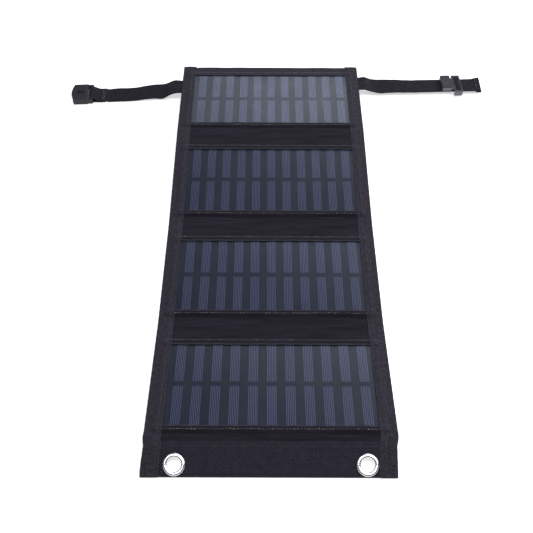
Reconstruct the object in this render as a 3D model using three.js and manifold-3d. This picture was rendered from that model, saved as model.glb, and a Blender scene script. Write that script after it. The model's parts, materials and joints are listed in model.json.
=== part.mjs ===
// Folding solar panel: four hinged module panels, an end flap with eyelets, a regulator box and
// two buckle straps. Millimetres. +X across the panels, +Y towards the strap end, +Z up.
// The origin lies on the resting plane at mid length, under the one panel that lies flat.
import * as THREE from 'three';
import { mergeVertices } from 'three/addons/utils/BufferGeometryUtils.js';
import Module from 'manifold-3d';

const wasm = await Module();
wasm.setup();

// ---- driving dimensions -------------------------------------------------------------------
const PANEL_W = 189.5; // outer width over the side bindings
const WINDOW_W = 163;
const WINDOW_L = 77;
const TOP_MARGIN = 15.5; // top edge to the first window
const ABOVE_WINDOW = 25.5; // crease to the next window
const BELOW_WINDOW = 12; // window to the next crease
const FLAP_L = 26; // last crease to the flap's free edge
const FLAP_W = 186.5;
const CREASE_W = 8; // distance between the two fold lines of a crease
const MODULE_LAP = 3.5; // how far a module reaches under its cloth frame

// Rest attitude, in degrees: the way each piece runs up (+) or down (-) towards the flap.
const TILT = { panel1: 0, panel2: -5, panel3: 0, panel4: 6, flap: -27 };

// Layer heights above the ground for a panel that lies flat.
const CLOTH_T = 0.7;
const TAPE_T = 0.6;
const LAYER_GAP = 0.05;
const BOARD_T = 1.2;
const CELL_T = 0.25;
const FILM_T = 0.35;
const BOARD_Z = CLOTH_T + LAYER_GAP;
const PLY_TOP_Z = BOARD_Z + CLOTH_T; // two plies of cloth, as at a crease or the flap
const CELL_Z = BOARD_Z + BOARD_T + LAYER_GAP;
const FILM_Z = CELL_Z + CELL_T + LAYER_GAP;
const LAP_Z = FILM_Z + FILM_T + LAYER_GAP; // underside of cloth that lies on a module
const AXIS_Z = PLY_TOP_Z / 2; // fold lines, mid-thickness of the crease cloth

// Clearances beside a fold line: thin cloth, then the thicker bindings.
const CLOTH_CLEAR = 0.8;
const TAPE_CLEAR = 1.5;

// Side binding tape.
const TAPE_W = 13.25;
const TAPE_BACK_W = 8.6; // width of its back leg, beside the module boards
const TAPE_LOW_W = 4.5; // outer part of the tape that lies low, outside the module
const TAPE_RAMP_W = 3.8;
const EDGE_STEP_W = 0.8; // run over which the cloth steps up on to the tape's back leg

// Cross strips, which frame a module's top and bottom.
const STRIP_SIDE_GAP = 0.3; // strip end to the window's side
const STRIP_RAMP_FOOT = 3.2; // where the cloth starts to climb, before the module's edge
const STRIP_RAMP_HEAD = 0.6;

// Solar cells: two rows of narrow cells.
const CELL_COLUMNS = 11;
const CELL_PITCH = 14.6;
const CELL_W = 7.9;
const CELL_FIRST_X = 5.3; // window edge to the first cell
const CELL_ROW_GAP = 4;
const CELL_OVERRUN = 0.5; // how far cells run on under the cloth
const RIBBON_W = 3;
const BUS_W = 1.2;

// Eyelets.
const EYELET_X = 71;
const EYELET_FROM_CREASE = 16.9;
const EYELET_R = 8.3;
const EYELET_HOLE_R = 5.2;
const EYELET_WALL = 0.6;
const EYELET_CROWN = 1.3;
const EYELET_RIM = 0.25;
const WASHER_T = 0.5;
const EYELET_GAP = 0.15;
const EYELET_SIDES = 36;
const WASHER_INSET = 0.3; // washer rim inside the flange's rim
const DOME_STEPS = 6;

// Jumper ribbon that joins neighbouring modules through a crease.
const JUMPER_X = 58;
const JUMPER_W = 8;
const JUMPER_T = 0.45;
const JUMPER_ROOM = 0.2;

// Regulator box under the first panel.
const BOX_X = 62;
const BOX_Y = 40;
const BOX_FROM_TOP = 52;
const BOX_WALL = 1.3;
const BOX_CORNER_R = 4;
const BOX_FLANGE = 3;
const BOX_BASE_T = 1.2;
const BOX_LIFT = 0.05;
const BOX_BEVEL = 0.6;
const PCB_T = 1;
const PCB_SIDE_GAP = 1.2;
const PCB_PARTS = [
  { x: -22, y: -8, w: 9, l: 7, h: 4 },
  { x: -22, y: 6, w: 7, l: 7, h: 3 },
  { x: 18, y: -8, w: 8, l: 8, h: 4.5 },
  { x: 18, y: 6, w: 5, l: 6, h: 2 },
];
const PART_SEAT = 0.2; // how far a part sinks into the circuit board
const SOCKET_W = 13.2;
const SOCKET_H = 5.8;
const SOCKET_L = 14;
const SOCKET_WALL = 0.4;
const SOCKET_SIDE = 0.3;
const SOCKET_ABOVE_FLOOR = 0.5;
const SOCKET_RECESS = 0.4; // shell mouth behind the box's outer face

const DEG = Math.PI / 180;
const OVERCUT = 1; // how far a cutting tool runs past a face
const SINK = 0.5; // how far joined pieces of one body run into each other

// The regulator box holds the first panel off the ground by what the second one climbs.
const SLOPE_L = ABOVE_WINDOW + WINDOW_L + BELOW_WINDOW - CREASE_W;
const SLOPE = -TILT.panel2 * DEG;
const BOX_RAISE = SLOPE_L * Math.sin(SLOPE) + 2 * CREASE_W * Math.sin(SLOPE / 2);

// Straps.
const WEB_W = 20;
const WEB_T = 1.4;
const STRAP_BEND_OUT = 1.45; // panel edge to the bend line beside it
const STRAP_X = PANEL_W / 2 + STRAP_BEND_OUT;
const STRAP_Z = BOX_RAISE - LAYER_GAP - WEB_T / 2;
const STRAP_SIDE_L = 52; // bend line beside the panel to the bend line over the folded stack
const STRAP_LEFT = { fromTop: 31, yaw: 183.4, endZ: 3.95 };
const STRAP_RIGHT = { fromTop: 24.7, yaw: 2.2, endZ: 4.6, length: 132 };
const ANCHOR_L = 26;
const LOOP_WALL_R = 3.05;
const LOOP_HOLE_R = 1.65;
const LOOP_WALL_LEFT = 0.2; // webbing left between the sewn run and the loop's hole
const SEWN_L = 15;
const PLY_GAP = 0.1; // between two plies of webbing sewn together
const TAIL_HEM_L = 6;
const WEB_LAP = 0.1; // overlap between runs of the same webbing

// Buckle socket half; places are measured along the strap from the panel's bend line.
const SOCKET_BAR_A = 96.5;
const SOCKET_BODY_A = 100;
const SOCKET_END_A = 117.5;
const SOCKET_ARM_A = 94.6;
const BUCKLE_W = 25.2;
const BUCKLE_H = 7.8;
const BUCKLE_ARM_W = 2.1;
const BUCKLE_ARM_H = 5.2;
const BUCKLE_BEVEL = 0.7;
const BUCKLE_BULGE = 2.6; // how far the mouth end bows outwards
const BAR_R = 1.3;
const CAVITY_W = 22;
const CAVITY_LOW = -2.8;
const CAVITY_HIGH = 2.5;
const CAVITY_L = 14.8;
const BUTTON_A = 107.5;
const BUTTON_L = 7;
const BUTTON_W = 4.4;
const BUTTON_FLANGE = 0.9;
const BUTTON_GAP = 0.25;
const BUTTON_PROUD = 0.3; // cap above the roof
const BUTTON_FOOT_T = 0.7;
const BUTTON_FOOT_DROP = 0.1; // foot below the roof's underside
const BUTTON_CAP_SINK = 0.2;
const FLAT_END = 0.01; // sliver of straight end left between the oval's two arcs

// Adjustable buckle half.
const PLUG_A = 89.3;
const PLUG_L = 11.6;
const PLUG_W = 21.4;
const PLUG_H = 4.8;
const FRAME_A = 102.4;
const FRAME_L = 8.8;
const FRAME_W = 27.6;
const RAIL_W = 2.9;
const FRAME_H = 5.6;
const WEB_CLEAR = 0.3; // plastic to webbing
const OUTER_BAR_L = 1.9;
const MIDDLE_BAR_L = 2.4;
const PLUG_CORNER_R = 1.2;
const PLUG_BEVEL = 0.5;
const NECK_INSET = 2; // neck inside the plug block's sides and end
const NECK_H = 1.6;
const RAIL_R = 0.8;

// ---- materials ----------------------------------------------------------------------------
function material(color, roughness, metalness = 0) {
  return new THREE.MeshStandardMaterial({ color, roughness, metalness });
}

const blackCloth = () => material(0x17161b, 0.85);
const lining = () => material(0x1a1a1f, 0.9);
const tape = () => material(0x121116, 0.8);
const webbing = () => material(0x15141a, 0.75);
const board = () => material(0x1d2a44, 0.6);
const cell = () => material(0x5f6680, 0.35, 0.2);
const film = () => material(0x1c2440, 0.2);
const copper = () => material(0xb4703c, 0.4, 0.9);
const steel = () => material(0xc8cacc, 0.25, 1);
const plastic = () => material(0x1c1c20, 0.45);
const solderMask = () => material(0x1f5a34, 0.5);

// ---- solids -------------------------------------------------------------------------------
function toSolid(geometry) {
  const bare = geometry.index ? geometry.toNonIndexed() : geometry.clone();
  bare.deleteAttribute('normal');
  bare.deleteAttribute('uv');
  const merged = mergeVertices(bare, 1e-4);
  const vertProperties = new Float32Array(merged.attributes.position.array);
  const triVerts = new Uint32Array(merged.index.array);
  return new wasm.Manifold(new wasm.Mesh({ numProp: 3, vertProperties, triVerts }));
}

function toGeometry(solid) {
  const { vertProperties, triVerts } = solid.getMesh();
  const geometry = new THREE.BufferGeometry();
  geometry.setAttribute('position', new THREE.BufferAttribute(vertProperties, 3));
  geometry.setIndex(new THREE.BufferAttribute(triVerts, 1));
  geometry.computeVertexNormals();
  return geometry;
}

function join(...geometries) {
  return toGeometry(geometries.map(toSolid).reduce((whole, piece) => whole.add(piece)));
}

function cut(geometry, ...tools) {
  return toGeometry(tools.map(toSolid).reduce((whole, tool) => whole.subtract(tool), toSolid(geometry)));
}

// A box from its lowest to its highest corner.
function block([x0, y0, z0], [x1, y1, z1]) {
  const geometry = new THREE.BoxGeometry(x1 - x0, y1 - y0, z1 - z0);
  return geometry.translate((x0 + x1) / 2, (y0 + y1) / 2, (z0 + z1) / 2);
}

function outline(points) {
  return new THREE.Shape(points.map(([x, y]) => new THREE.Vector2(x, y)));
}

function roundedRect(x0, y0, x1, y1, r) {
  const shape = new THREE.Shape();
  shape.moveTo(x0 + r, y0);
  shape.lineTo(x1 - r, y0);
  shape.absarc(x1 - r, y0 + r, r, -Math.PI / 2, 0);
  shape.lineTo(x1, y1 - r);
  shape.absarc(x1 - r, y1 - r, r, 0, Math.PI / 2);
  shape.lineTo(x0 + r, y1);
  shape.absarc(x0 + r, y1 - r, r, Math.PI / 2, Math.PI);
  shape.lineTo(x0, y0 + r);
  shape.absarc(x0 + r, y0 + r, r, Math.PI, Math.PI * 1.5);
  return shape;
}

// A flat shape in XY given thickness from z0 to z1.
function plate(shape, z0, z1, bevel = 0) {
  const geometry = new THREE.ExtrudeGeometry(shape, {
    depth: z1 - z0 - 2 * bevel,
    bevelEnabled: bevel > 0,
    bevelThickness: bevel,
    bevelSize: bevel,
    bevelOffset: -bevel,
    bevelSegments: 1,
    curveSegments: 6,
  });
  return geometry.translate(0, 0, z0 + bevel);
}

// A section drawn in (x, z) and run along Y from y0 to y1.
function runAlongY(points, y0, y1) {
  const geometry = new THREE.ExtrudeGeometry(outline(points), { depth: y1 - y0, bevelEnabled: false });
  return geometry.rotateX(Math.PI / 2).translate(0, y1, 0);
}

// A section drawn in (y, z) and run along X from x0 to x1.
function runAlongX(points, x0, x1) {
  const geometry = new THREE.ExtrudeGeometry(outline(points), { depth: x1 - x0, bevelEnabled: false });
  return geometry.rotateX(Math.PI / 2).rotateZ(Math.PI / 2).translate(x0, 0, 0);
}

// A round bar along Y.
function barAlongY(radius, y0, y1, sides = 20) {
  return new THREE.CylinderGeometry(radius, radius, y1 - y0, sides).translate(0, (y0 + y1) / 2, 0);
}

function mesh(name, geometry, surface) {
  const piece = new THREE.Mesh(geometry, surface);
  piece.name = name;
  return piece;
}

// ---- panels -------------------------------------------------------------------------------
// A panel's own frame: y = 0 at the edge nearer the straps, running to -y, and z = 0 on the
// fold lines. Layer heights above are measured from the ground, so they drop by AXIS_Z.
const rise = (z) => z - AXIS_Z;

function panelPlan(number) {
  const first = number === 1;
  const windowTop = first ? TOP_MARGIN : ABOVE_WINDOW - CREASE_W / 2;
  const length = windowTop + WINDOW_L + BELOW_WINDOW - CREASE_W / 2;
  return {
    number,
    length,
    windowTop,
    windowEnd: windowTop + WINDOW_L,
    start: first ? 0 : CLOTH_CLEAR,
    tapeStart: first ? 0 : TAPE_CLEAR,
  };
}

// Cloth across a panel whose edges step up on to the back leg of the side bindings.
function steppedCloth(width, top, y0, y1) {
  const inner = width / 2 - TAPE_BACK_W;
  const outer = width / 2 - TAPE_T - LAYER_GAP;
  const edge = [TAPE_T + LAYER_GAP, TAPE_T + LAYER_GAP + CLOTH_T];
  const foot = inner - EDGE_STEP_W - LAYER_GAP;
  const head = inner - LAYER_GAP;
  const section = [
    [-foot, 0],
    [foot, 0],
    [head, edge[0]],
    [outer, edge[0]],
    [outer, edge[1]],
    [head, edge[1]],
    [foot, top],
    [-foot, top],
    [-head, edge[1]],
    [-outer, edge[1]],
    [-outer, edge[0]],
    [-head, edge[0]],
  ];
  return runAlongY(section.map(([x, z]) => [x, rise(z)]), y0, y1);
}

function backCloth(plan) {
  const solid = steppedCloth(PANEL_W, CLOTH_T, CLOTH_CLEAR - plan.length, -plan.start);
  return mesh(`back_cloth_${plan.number}`, solid, lining());
}

function moduleLayer(name, plan, z0, z1, surface) {
  const half = WINDOW_W / 2 + MODULE_LAP;
  const low = [-half, -plan.windowEnd - MODULE_LAP, rise(z0)];
  const high = [half, MODULE_LAP - plan.windowTop, rise(z1)];
  return mesh(`${name}_${plan.number}`, block(low, high), surface);
}

function cellString(plan) {
  const top = CELL_OVERRUN - plan.windowTop;
  const end = -plan.windowEnd - CELL_OVERRUN;
  const middle = (top + end) / 2;
  const [z0, z1] = [rise(CELL_Z), rise(CELL_Z + CELL_T)];
  const pieces = [];
  const left = (column) => -WINDOW_W / 2 + CELL_FIRST_X + column * CELL_PITCH;
  for (let column = 0; column < CELL_COLUMNS; column += 1) {
    const x = left(column);
    const ribbonX = x + (CELL_W - RIBBON_W) / 2;
    pieces.push(block([x, middle + CELL_ROW_GAP / 2, z0], [x + CELL_W, top, z1]));
    pieces.push(block([x, end, z0], [x + CELL_W, middle - CELL_ROW_GAP / 2, z1]));
    pieces.push(block([ribbonX, end - BUS_W / 2, z0], [ribbonX + RIBBON_W, top + BUS_W / 2, z1]));
  }
  for (const y of [top + BUS_W / 2, end - BUS_W / 2]) {
    const low = [left(0), y - BUS_W / 2, z0];
    pieces.push(block(low, [left(CELL_COLUMNS - 1) + CELL_W, y + BUS_W / 2, z1]));
  }
  return mesh(`cell_string_${plan.number}`, join(...pieces), cell());
}

// Cloth strip from a crease to a window edge: low at the crease, then up onto the module.
function crossStrip(name, plan, lowY, moduleY, windowY, surface) {
  const towards = Math.sign(windowY - lowY);
  const rampFoot = moduleY - towards * STRIP_RAMP_FOOT;
  const rampHead = moduleY - towards * STRIP_RAMP_HEAD;
  const under = [
    [lowY, rise(BOARD_Z)],
    [rampFoot, rise(BOARD_Z)],
    [rampHead, rise(LAP_Z)],
    [windowY, rise(LAP_Z)],
  ];
  const over = under.map(([y, z]) => [y, z + CLOTH_T]).reverse();
  const half = WINDOW_W / 2 - STRIP_SIDE_GAP;
  const section = towards > 0 ? [...under, ...over] : [...under, ...over].reverse();
  return mesh(`${name}_${plan.number}`, runAlongX(section, -half, half), surface);
}

// Tape folded round a long edge; side is -1 on the left, 1 on the right. Over a module it is
// raised; on the flap it lies low all the way.
function bindingSection(side, outer, raised) {
  const inner = outer - TAPE_W;
  const back = outer - TAPE_BACK_W;
  const low = rise(PLY_TOP_Z + LAYER_GAP);
  const high = raised ? rise(LAP_Z) : low;
  const rampFoot = outer - TAPE_LOW_W;
  const rampHead = rampFoot - TAPE_RAMP_W;
  const bottom = rise(0);
  const over = raised ? [[rampFoot, low + TAPE_T], [rampHead, high + TAPE_T]] : [];
  const under = raised ? [[rampHead, high], [rampFoot, low]] : [];
  const points = [
    [back, bottom],
    [outer, bottom],
    [outer, low + TAPE_T],
    ...over,
    [inner, high + TAPE_T],
    [inner, high],
    ...under,
    [outer - TAPE_T, low],
    [outer - TAPE_T, bottom + TAPE_T],
    [back, bottom + TAPE_T],
  ];
  const placed = points.map(([x, z]) => [side * x, z]);
  return side > 0 ? placed : placed.reverse();
}

function binding(plan, side) {
  const word = side < 0 ? 'left' : 'right';
  const section = bindingSection(side, PANEL_W / 2, true);
  const solid = runAlongY(section, TAPE_CLEAR - plan.length, -plan.tapeStart);
  return mesh(`binding_${word}_${plan.number}`, solid, tape());
}

function panel(number) {
  const plan = panelPlan(number);
  const group = new THREE.Group();
  const nearEnd = CLOTH_CLEAR - plan.length;
  group.add(backCloth(plan));
  group.add(moduleLayer('module_board', plan, BOARD_Z, BOARD_Z + BOARD_T, board()));
  group.add(cellString(plan));
  group.add(moduleLayer('cover_film', plan, FILM_Z, FILM_Z + FILM_T, film()));
  const upper = [-plan.start, MODULE_LAP - plan.windowTop, -plan.windowTop];
  const lower = [nearEnd, -MODULE_LAP - plan.windowEnd, -plan.windowEnd];
  group.add(crossStrip('upper_strip', plan, ...upper, blackCloth()));
  group.add(crossStrip('lower_strip', plan, ...lower, blackCloth()));
  group.add(binding(plan, -1));
  group.add(binding(plan, 1));
  return { group, plan };
}

// ---- creases ------------------------------------------------------------------------------
function crease(label, width, withJumper) {
  const group = new THREE.Group();
  const half = width / 2;
  const [y0, y1] = [CLOTH_CLEAR - CREASE_W, -CLOTH_CLEAR];
  let cloth = block([-half, y0, -AXIS_Z], [half, y1, AXIS_Z]);
  if (withJumper) {
    const room = JUMPER_T / 2 + JUMPER_ROOM;
    const side = JUMPER_W / 2 + JUMPER_ROOM;
    const low = [JUMPER_X - side, y0 - OVERCUT, -room];
    cloth = cut(cloth, block(low, [JUMPER_X + side, y1 + OVERCUT, room]));
    const wire = block(
      [JUMPER_X - JUMPER_W / 2, y0, -JUMPER_T / 2],
      [JUMPER_X + JUMPER_W / 2, y1, JUMPER_T / 2],
    );
    group.add(mesh(`jumper_${label}`, wire, copper()));
  }
  group.add(mesh(`crease_cloth_${label}`, cloth, blackCloth()));
  return group;
}

// ---- flap ---------------------------------------------------------------------------------
const FLAP_BODY_L = FLAP_L - CREASE_W / 2;
const EYELET_Y = CREASE_W / 2 - EYELET_FROM_CREASE;

function flapCloth() {
  const holeR = EYELET_HOLE_R + EYELET_WALL + EYELET_GAP;
  const cloth = steppedCloth(FLAP_W, PLY_TOP_Z, -FLAP_BODY_L, -CLOTH_CLEAR);
  const holes = [-1, 1].map((side) => {
    const tool = new THREE.CylinderGeometry(holeR, holeR, 4 * PLY_TOP_Z, EYELET_SIDES).rotateX(Math.PI / 2);
    return tool.translate(side * EYELET_X, EYELET_Y, 0);
  });
  return mesh('flap_cloth', cut(cloth, ...holes), blackCloth());
}

function flapBinding(side) {
  const word = side < 0 ? 'left' : 'right';
  const section = bindingSection(side, FLAP_W / 2, false);
  return mesh(`flap_binding_${word}`, runAlongY(section, -FLAP_BODY_L, -TAPE_CLEAR), tape());
}

// Front half of an eyelet: a domed flange and the barrel that passes through the cloth.
function eyelet(side) {
  const word = side < 0 ? 'left' : 'right';
  const seat = rise(PLY_TOP_Z) + EYELET_GAP;
  const foot = rise(0) - WASHER_T - 2 * EYELET_GAP;
  const barrelR = EYELET_HOLE_R + EYELET_WALL;
  const profile = [[EYELET_HOLE_R, foot], [barrelR, foot], [barrelR, seat], [EYELET_R, seat]];
  const span = EYELET_R - EYELET_HOLE_R;
  for (let step = 0; step <= DOME_STEPS; step += 1) {
    const turn = (Math.PI * step) / DOME_STEPS;
    const r = EYELET_HOLE_R + (span / 2) * (1 + Math.cos(turn));
    profile.push([r, seat + EYELET_RIM + (EYELET_CROWN - EYELET_RIM) * Math.sin(turn)]);
  }
  profile.push([EYELET_HOLE_R, foot]);
  return mesh(`eyelet_${word}`, ring(profile, side), steel());
}

function ring(profile, side) {
  const points = profile.map(([r, z]) => new THREE.Vector2(r, z));
  const turned = new THREE.LatheGeometry(points, EYELET_SIDES).rotateX(Math.PI / 2);
  return turned.translate(side * EYELET_X, EYELET_Y, 0);
}

function eyeletWasher(side) {
  const word = side < 0 ? 'left' : 'right';
  const inner = EYELET_HOLE_R + EYELET_WALL + EYELET_GAP;
  const outer = EYELET_R - WASHER_INSET;
  const high = rise(0) - EYELET_GAP;
  const low = high - WASHER_T;
  const profile = [[inner, low], [outer, low], [outer, high], [inner, high], [inner, low]];
  return mesh(`eyelet_washer_${word}`, ring(profile, side), steel());
}

function flap() {
  const group = new THREE.Group();
  group.add(flapCloth());
  for (const side of [-1, 1]) {
    group.add(flapBinding(side));
    group.add(eyelet(side));
    group.add(eyeletWasher(side));
  }
  return group;
}

// ---- regulator box ------------------------------------------------------------------------
// Built at ground height under the first panel: z here is measured from the ground.
function regulatorBox() {
  const group = new THREE.Group();
  const backZ = BOX_RAISE - BOX_LIFT;
  const baseZ = backZ - BOX_BASE_T;
  const [hx, hy] = [BOX_X / 2, BOX_Y / 2];
  const centred = (x, y, r) => roundedRect(-x, -y, x, y, r);
  const flange = centred(hx + BOX_FLANGE, hy + BOX_FLANGE, BOX_CORNER_R);
  group.add(mesh('regulator_base', plate(flange, baseZ, backZ), plastic()));

  const shellTop = baseZ - LAYER_GAP;
  const outer = plate(centred(hx, hy, BOX_CORNER_R), 0, shellTop, BOX_BEVEL);
  const well = centred(hx - BOX_WALL, hy - BOX_WALL, BOX_CORNER_R - BOX_WALL);
  const socketZ = BOX_WALL + SOCKET_ABOVE_FLOOR;
  const mouth = block(
    [-SOCKET_W / 2 - SOCKET_SIDE, hy - BOX_WALL - OVERCUT, socketZ - SOCKET_SIDE],
    [SOCKET_W / 2 + SOCKET_SIDE, hy + OVERCUT, socketZ + SOCKET_H + SOCKET_SIDE],
  );
  const shell = cut(outer, plate(well, BOX_WALL, shellTop + OVERCUT), mouth);
  group.add(mesh('regulator_cover', shell, plastic()));

  const pcbZ = socketZ + SOCKET_H + LAYER_GAP;
  const inset = BOX_WALL + PCB_SIDE_GAP;
  const pcb = block([-hx + inset, -hy + inset, pcbZ], [hx - inset, hy - inset, pcbZ + PCB_T]);
  const parts = PCB_PARTS.map(({ x, y, w, l, h }) =>
    block([x - w / 2, y - l / 2, pcbZ - h], [x + w / 2, y + l / 2, pcbZ + PART_SEAT]),
  );
  group.add(mesh('regulator_circuit_board', join(pcb, ...parts), solderMask()));

  const front = hy - SOCKET_RECESS;
  const tube = cut(
    block([-SOCKET_W / 2, front - SOCKET_L, socketZ], [SOCKET_W / 2, front, socketZ + SOCKET_H]),
    block(
      [-SOCKET_W / 2 + SOCKET_WALL, front - SOCKET_L - OVERCUT, socketZ + SOCKET_WALL],
      [SOCKET_W / 2 - SOCKET_WALL, front + OVERCUT, socketZ + SOCKET_H - SOCKET_WALL],
    ),
  );
  group.add(mesh('output_socket_shell', tube, steel()));
  group.position.set(0, -BOX_FROM_TOP, 0);
  return group;
}

// ---- straps -------------------------------------------------------------------------------
// A strap's own frame: x runs outwards along the webbing, y across it, z = 0 at mid-thickness.
function strapAnchor(side) {
  const word = side < 0 ? 'left' : 'right';
  const outer = STRAP_X - CLOTH_CLEAR;
  const [x0, x1] = side < 0 ? [-outer, ANCHOR_L - outer] : [outer - ANCHOR_L, outer];
  const y = -(side < 0 ? STRAP_LEFT : STRAP_RIGHT).fromTop;
  const low = [x0, y - WEB_W / 2, STRAP_Z - WEB_T / 2];
  const high = [x1, y + WEB_W / 2, STRAP_Z + WEB_T / 2];
  return mesh(`strap_anchor_${word}`, block(low, high), webbing());
}

function webRun(x0, x1, thick = WEB_T) {
  return block([x0, -WEB_W / 2, -thick / 2], [x1, WEB_W / 2, thick / 2]);
}

// The strap chain: side run, then end run with whatever it carries.
function strap(word, plan, endPieces) {
  const fall = Math.asin((STRAP_Z - plan.endZ) / STRAP_SIDE_L);
  const root = new THREE.Group();
  root.name = `strap_${word}_side_body`;
  root.rotation.set(0, fall, plan.yaw * DEG, 'ZYX');
  root.add(mesh(`strap_${word}_side`, webRun(CLOTH_CLEAR, STRAP_SIDE_L - CLOTH_CLEAR), webbing()));
  const end = new THREE.Group();
  end.name = `strap_${word}_end_body`;
  end.position.set(STRAP_SIDE_L, 0, 0);
  end.rotation.y = -fall;
  end.add(...endPieces);
  root.add(end);
  return root;
}

const alongEnd = (a) => a - STRAP_SIDE_L;

// Left end run: webbing that turns round the buckle's bar and is sewn back on itself.
function loopedWebbing() {
  const bar = alongEnd(SOCKET_BAR_A);
  const doubled = 2 * WEB_T + PLY_GAP;
  const eye = barAlongY(LOOP_WALL_R, -WEB_W / 2, WEB_W / 2).translate(bar, 0, 0);
  const hole = barAlongY(LOOP_HOLE_R, -WEB_W / 2 - OVERCUT, WEB_W / 2 + OVERCUT).translate(bar, 0, 0);
  const whole = join(
    webRun(CLOTH_CLEAR, bar - SEWN_L),
    webRun(bar - SEWN_L - WEB_LAP, bar - LOOP_HOLE_R - LOOP_WALL_LEFT, doubled),
    eye,
  );
  return mesh('strap_left_end', cut(whole, hole), webbing());
}

// Right end run: straight webbing with a folded hem at its free end.
function tailWebbing() {
  const tip = alongEnd(STRAP_RIGHT.length);
  const hem = webRun(tip - TAIL_HEM_L, tip, 2 * WEB_T);
  const run = webRun(CLOTH_CLEAR, tip - TAIL_HEM_L + WEB_LAP);
  return mesh('strap_right_end', join(run, hem), webbing());
}

function socketOutline() {
  const half = BUCKLE_W / 2;
  const [inner, outer] = [alongEnd(SOCKET_BODY_A), alongEnd(SOCKET_END_A)];
  const shape = new THREE.Shape();
  shape.moveTo(inner, -half);
  shape.lineTo(outer - BUCKLE_BULGE, -half);
  shape.quadraticCurveTo(outer + BUCKLE_BULGE, 0, outer - BUCKLE_BULGE, half);
  shape.lineTo(inner, half);
  return shape;
}

function socketHalf() {
  const [half, top] = [BUCKLE_W / 2, BUCKLE_H / 2];
  const inner = alongEnd(SOCKET_BODY_A);
  const outer = alongEnd(SOCKET_END_A);
  const armStart = alongEnd(SOCKET_ARM_A);
  const arms = [-1, 1].map((side) => {
    const [y0, y1] = side < 0 ? [-half, BUCKLE_ARM_W - half] : [half - BUCKLE_ARM_W, half];
    return block([armStart, y0, -BUCKLE_ARM_H / 2], [inner + SINK, y1, BUCKLE_ARM_H / 2]);
  });
  const bar = barAlongY(BAR_R, SINK - half, half - SINK).translate(alongEnd(SOCKET_BAR_A), 0, 0);
  const body = plate(socketOutline(), -top, top, BUCKLE_BEVEL);
  const cavity = block(
    [outer - CAVITY_L, -CAVITY_W / 2, CAVITY_LOW],
    [outer + 2 * OVERCUT, CAVITY_W / 2, CAVITY_HIGH],
  );
  const buttonHole = plate(buttonOutline(BUTTON_GAP), CAVITY_HIGH - WEB_LAP, top + OVERCUT);
  return mesh('buckle_socket', cut(join(body, ...arms, bar), cavity, buttonHole), plastic());
}

function buttonOutline(grow) {
  const a = alongEnd(BUTTON_A);
  const [hl, hw] = [BUTTON_L / 2 + grow, BUTTON_W / 2 + grow];
  return roundedRect(a - hl, -hw, a + hl, hw, hw - FLAT_END);
}

// Oval press button held under the socket's roof by a wider foot.
function releaseButton() {
  const top = BUCKLE_H / 2 + BUTTON_PROUD;
  const footTop = CAVITY_HIGH - BUTTON_FOOT_DROP;
  const cap = plate(buttonOutline(0), footTop - BUTTON_CAP_SINK, top);
  const foot = plate(buttonOutline(BUTTON_FLANGE), footTop - BUTTON_FOOT_T, footTop);
  return mesh('release_button', join(cap, foot), plastic());
}

function plugHalf() {
  const start = alongEnd(PLUG_A);
  const frameStart = alongEnd(FRAME_A);
  const frameEnd = frameStart + FRAME_L;
  const low = WEB_T / 2 + WEB_CLEAR;
  const high = FRAME_H / 2;
  const side = PLUG_W / 2;
  const tongue = roundedRect(start, -side, start + PLUG_L - PLUG_CORNER_R, side, PLUG_CORNER_R);
  const neck = block(
    [start + PLUG_L - NECK_INSET, NECK_INSET - side, low],
    [frameStart + SINK, side - NECK_INSET, low + NECK_H],
  );
  const inner = FRAME_W / 2 - RAIL_W;
  const rails = [[-FRAME_W / 2, -inner], [inner, FRAME_W / 2]].map(([y0, y1]) =>
    plate(roundedRect(frameStart, y0, frameEnd, y1, RAIL_R), -high, high),
  );
  const reach = inner + SINK;
  const outerBars = [frameStart, frameEnd - OUTER_BAR_L].map((x) =>
    block([x, -reach, low], [x + OUTER_BAR_L, reach, high]),
  );
  const middle = frameStart + (FRAME_L - MIDDLE_BAR_L) / 2;
  const lowBar = block([middle, -reach, -high], [middle + MIDDLE_BAR_L, reach, -low]);
  const tongueBlock = plate(tongue, low, low + PLUG_H, PLUG_BEVEL);
  const whole = join(tongueBlock, neck, ...rails, ...outerBars, lowBar);
  return mesh('buckle_plug', whole, plastic());
}

function leftStrap() {
  const group = strap('left', STRAP_LEFT, [loopedWebbing(), socketHalf(), releaseButton()]);
  group.position.set(-STRAP_X, -STRAP_LEFT.fromTop, STRAP_Z);
  return group;
}

function rightStrap() {
  const group = strap('right', STRAP_RIGHT, [tailWebbing(), plugHalf()]);
  group.position.set(STRAP_X, -STRAP_RIGHT.fromTop, STRAP_Z);
  return group;
}

// ---- assembly -----------------------------------------------------------------------------
// The pieces follow one another from the strap end to the flap, each turned to its rest tilt.
// A crease piece lies half way between its neighbours' tilts.
function chain() {
  const links = [];
  const tilts = [TILT.panel1, TILT.panel2, TILT.panel3, TILT.panel4, TILT.flap];
  for (let number = 1; number <= 4; number += 1) {
    const { group, plan } = panel(number);
    links.push({ name: `panel_${number}_body`, group, length: plan.length, tilt: tilts[number - 1] });
    const last = number === 4;
    const label = last ? '4_flap' : `${number}_${number + 1}`;
    const width = last ? FLAP_W : PANEL_W;
    links.push({
      name: `crease_${label}_body`,
      group: crease(label, width, !last),
      length: CREASE_W,
      tilt: (tilts[number - 1] + tilts[number]) / 2,
    });
  }
  links.push({ name: 'flap_body', group: flap(), length: FLAP_BODY_L, tilt: TILT.flap });
  return links;
}

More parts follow.
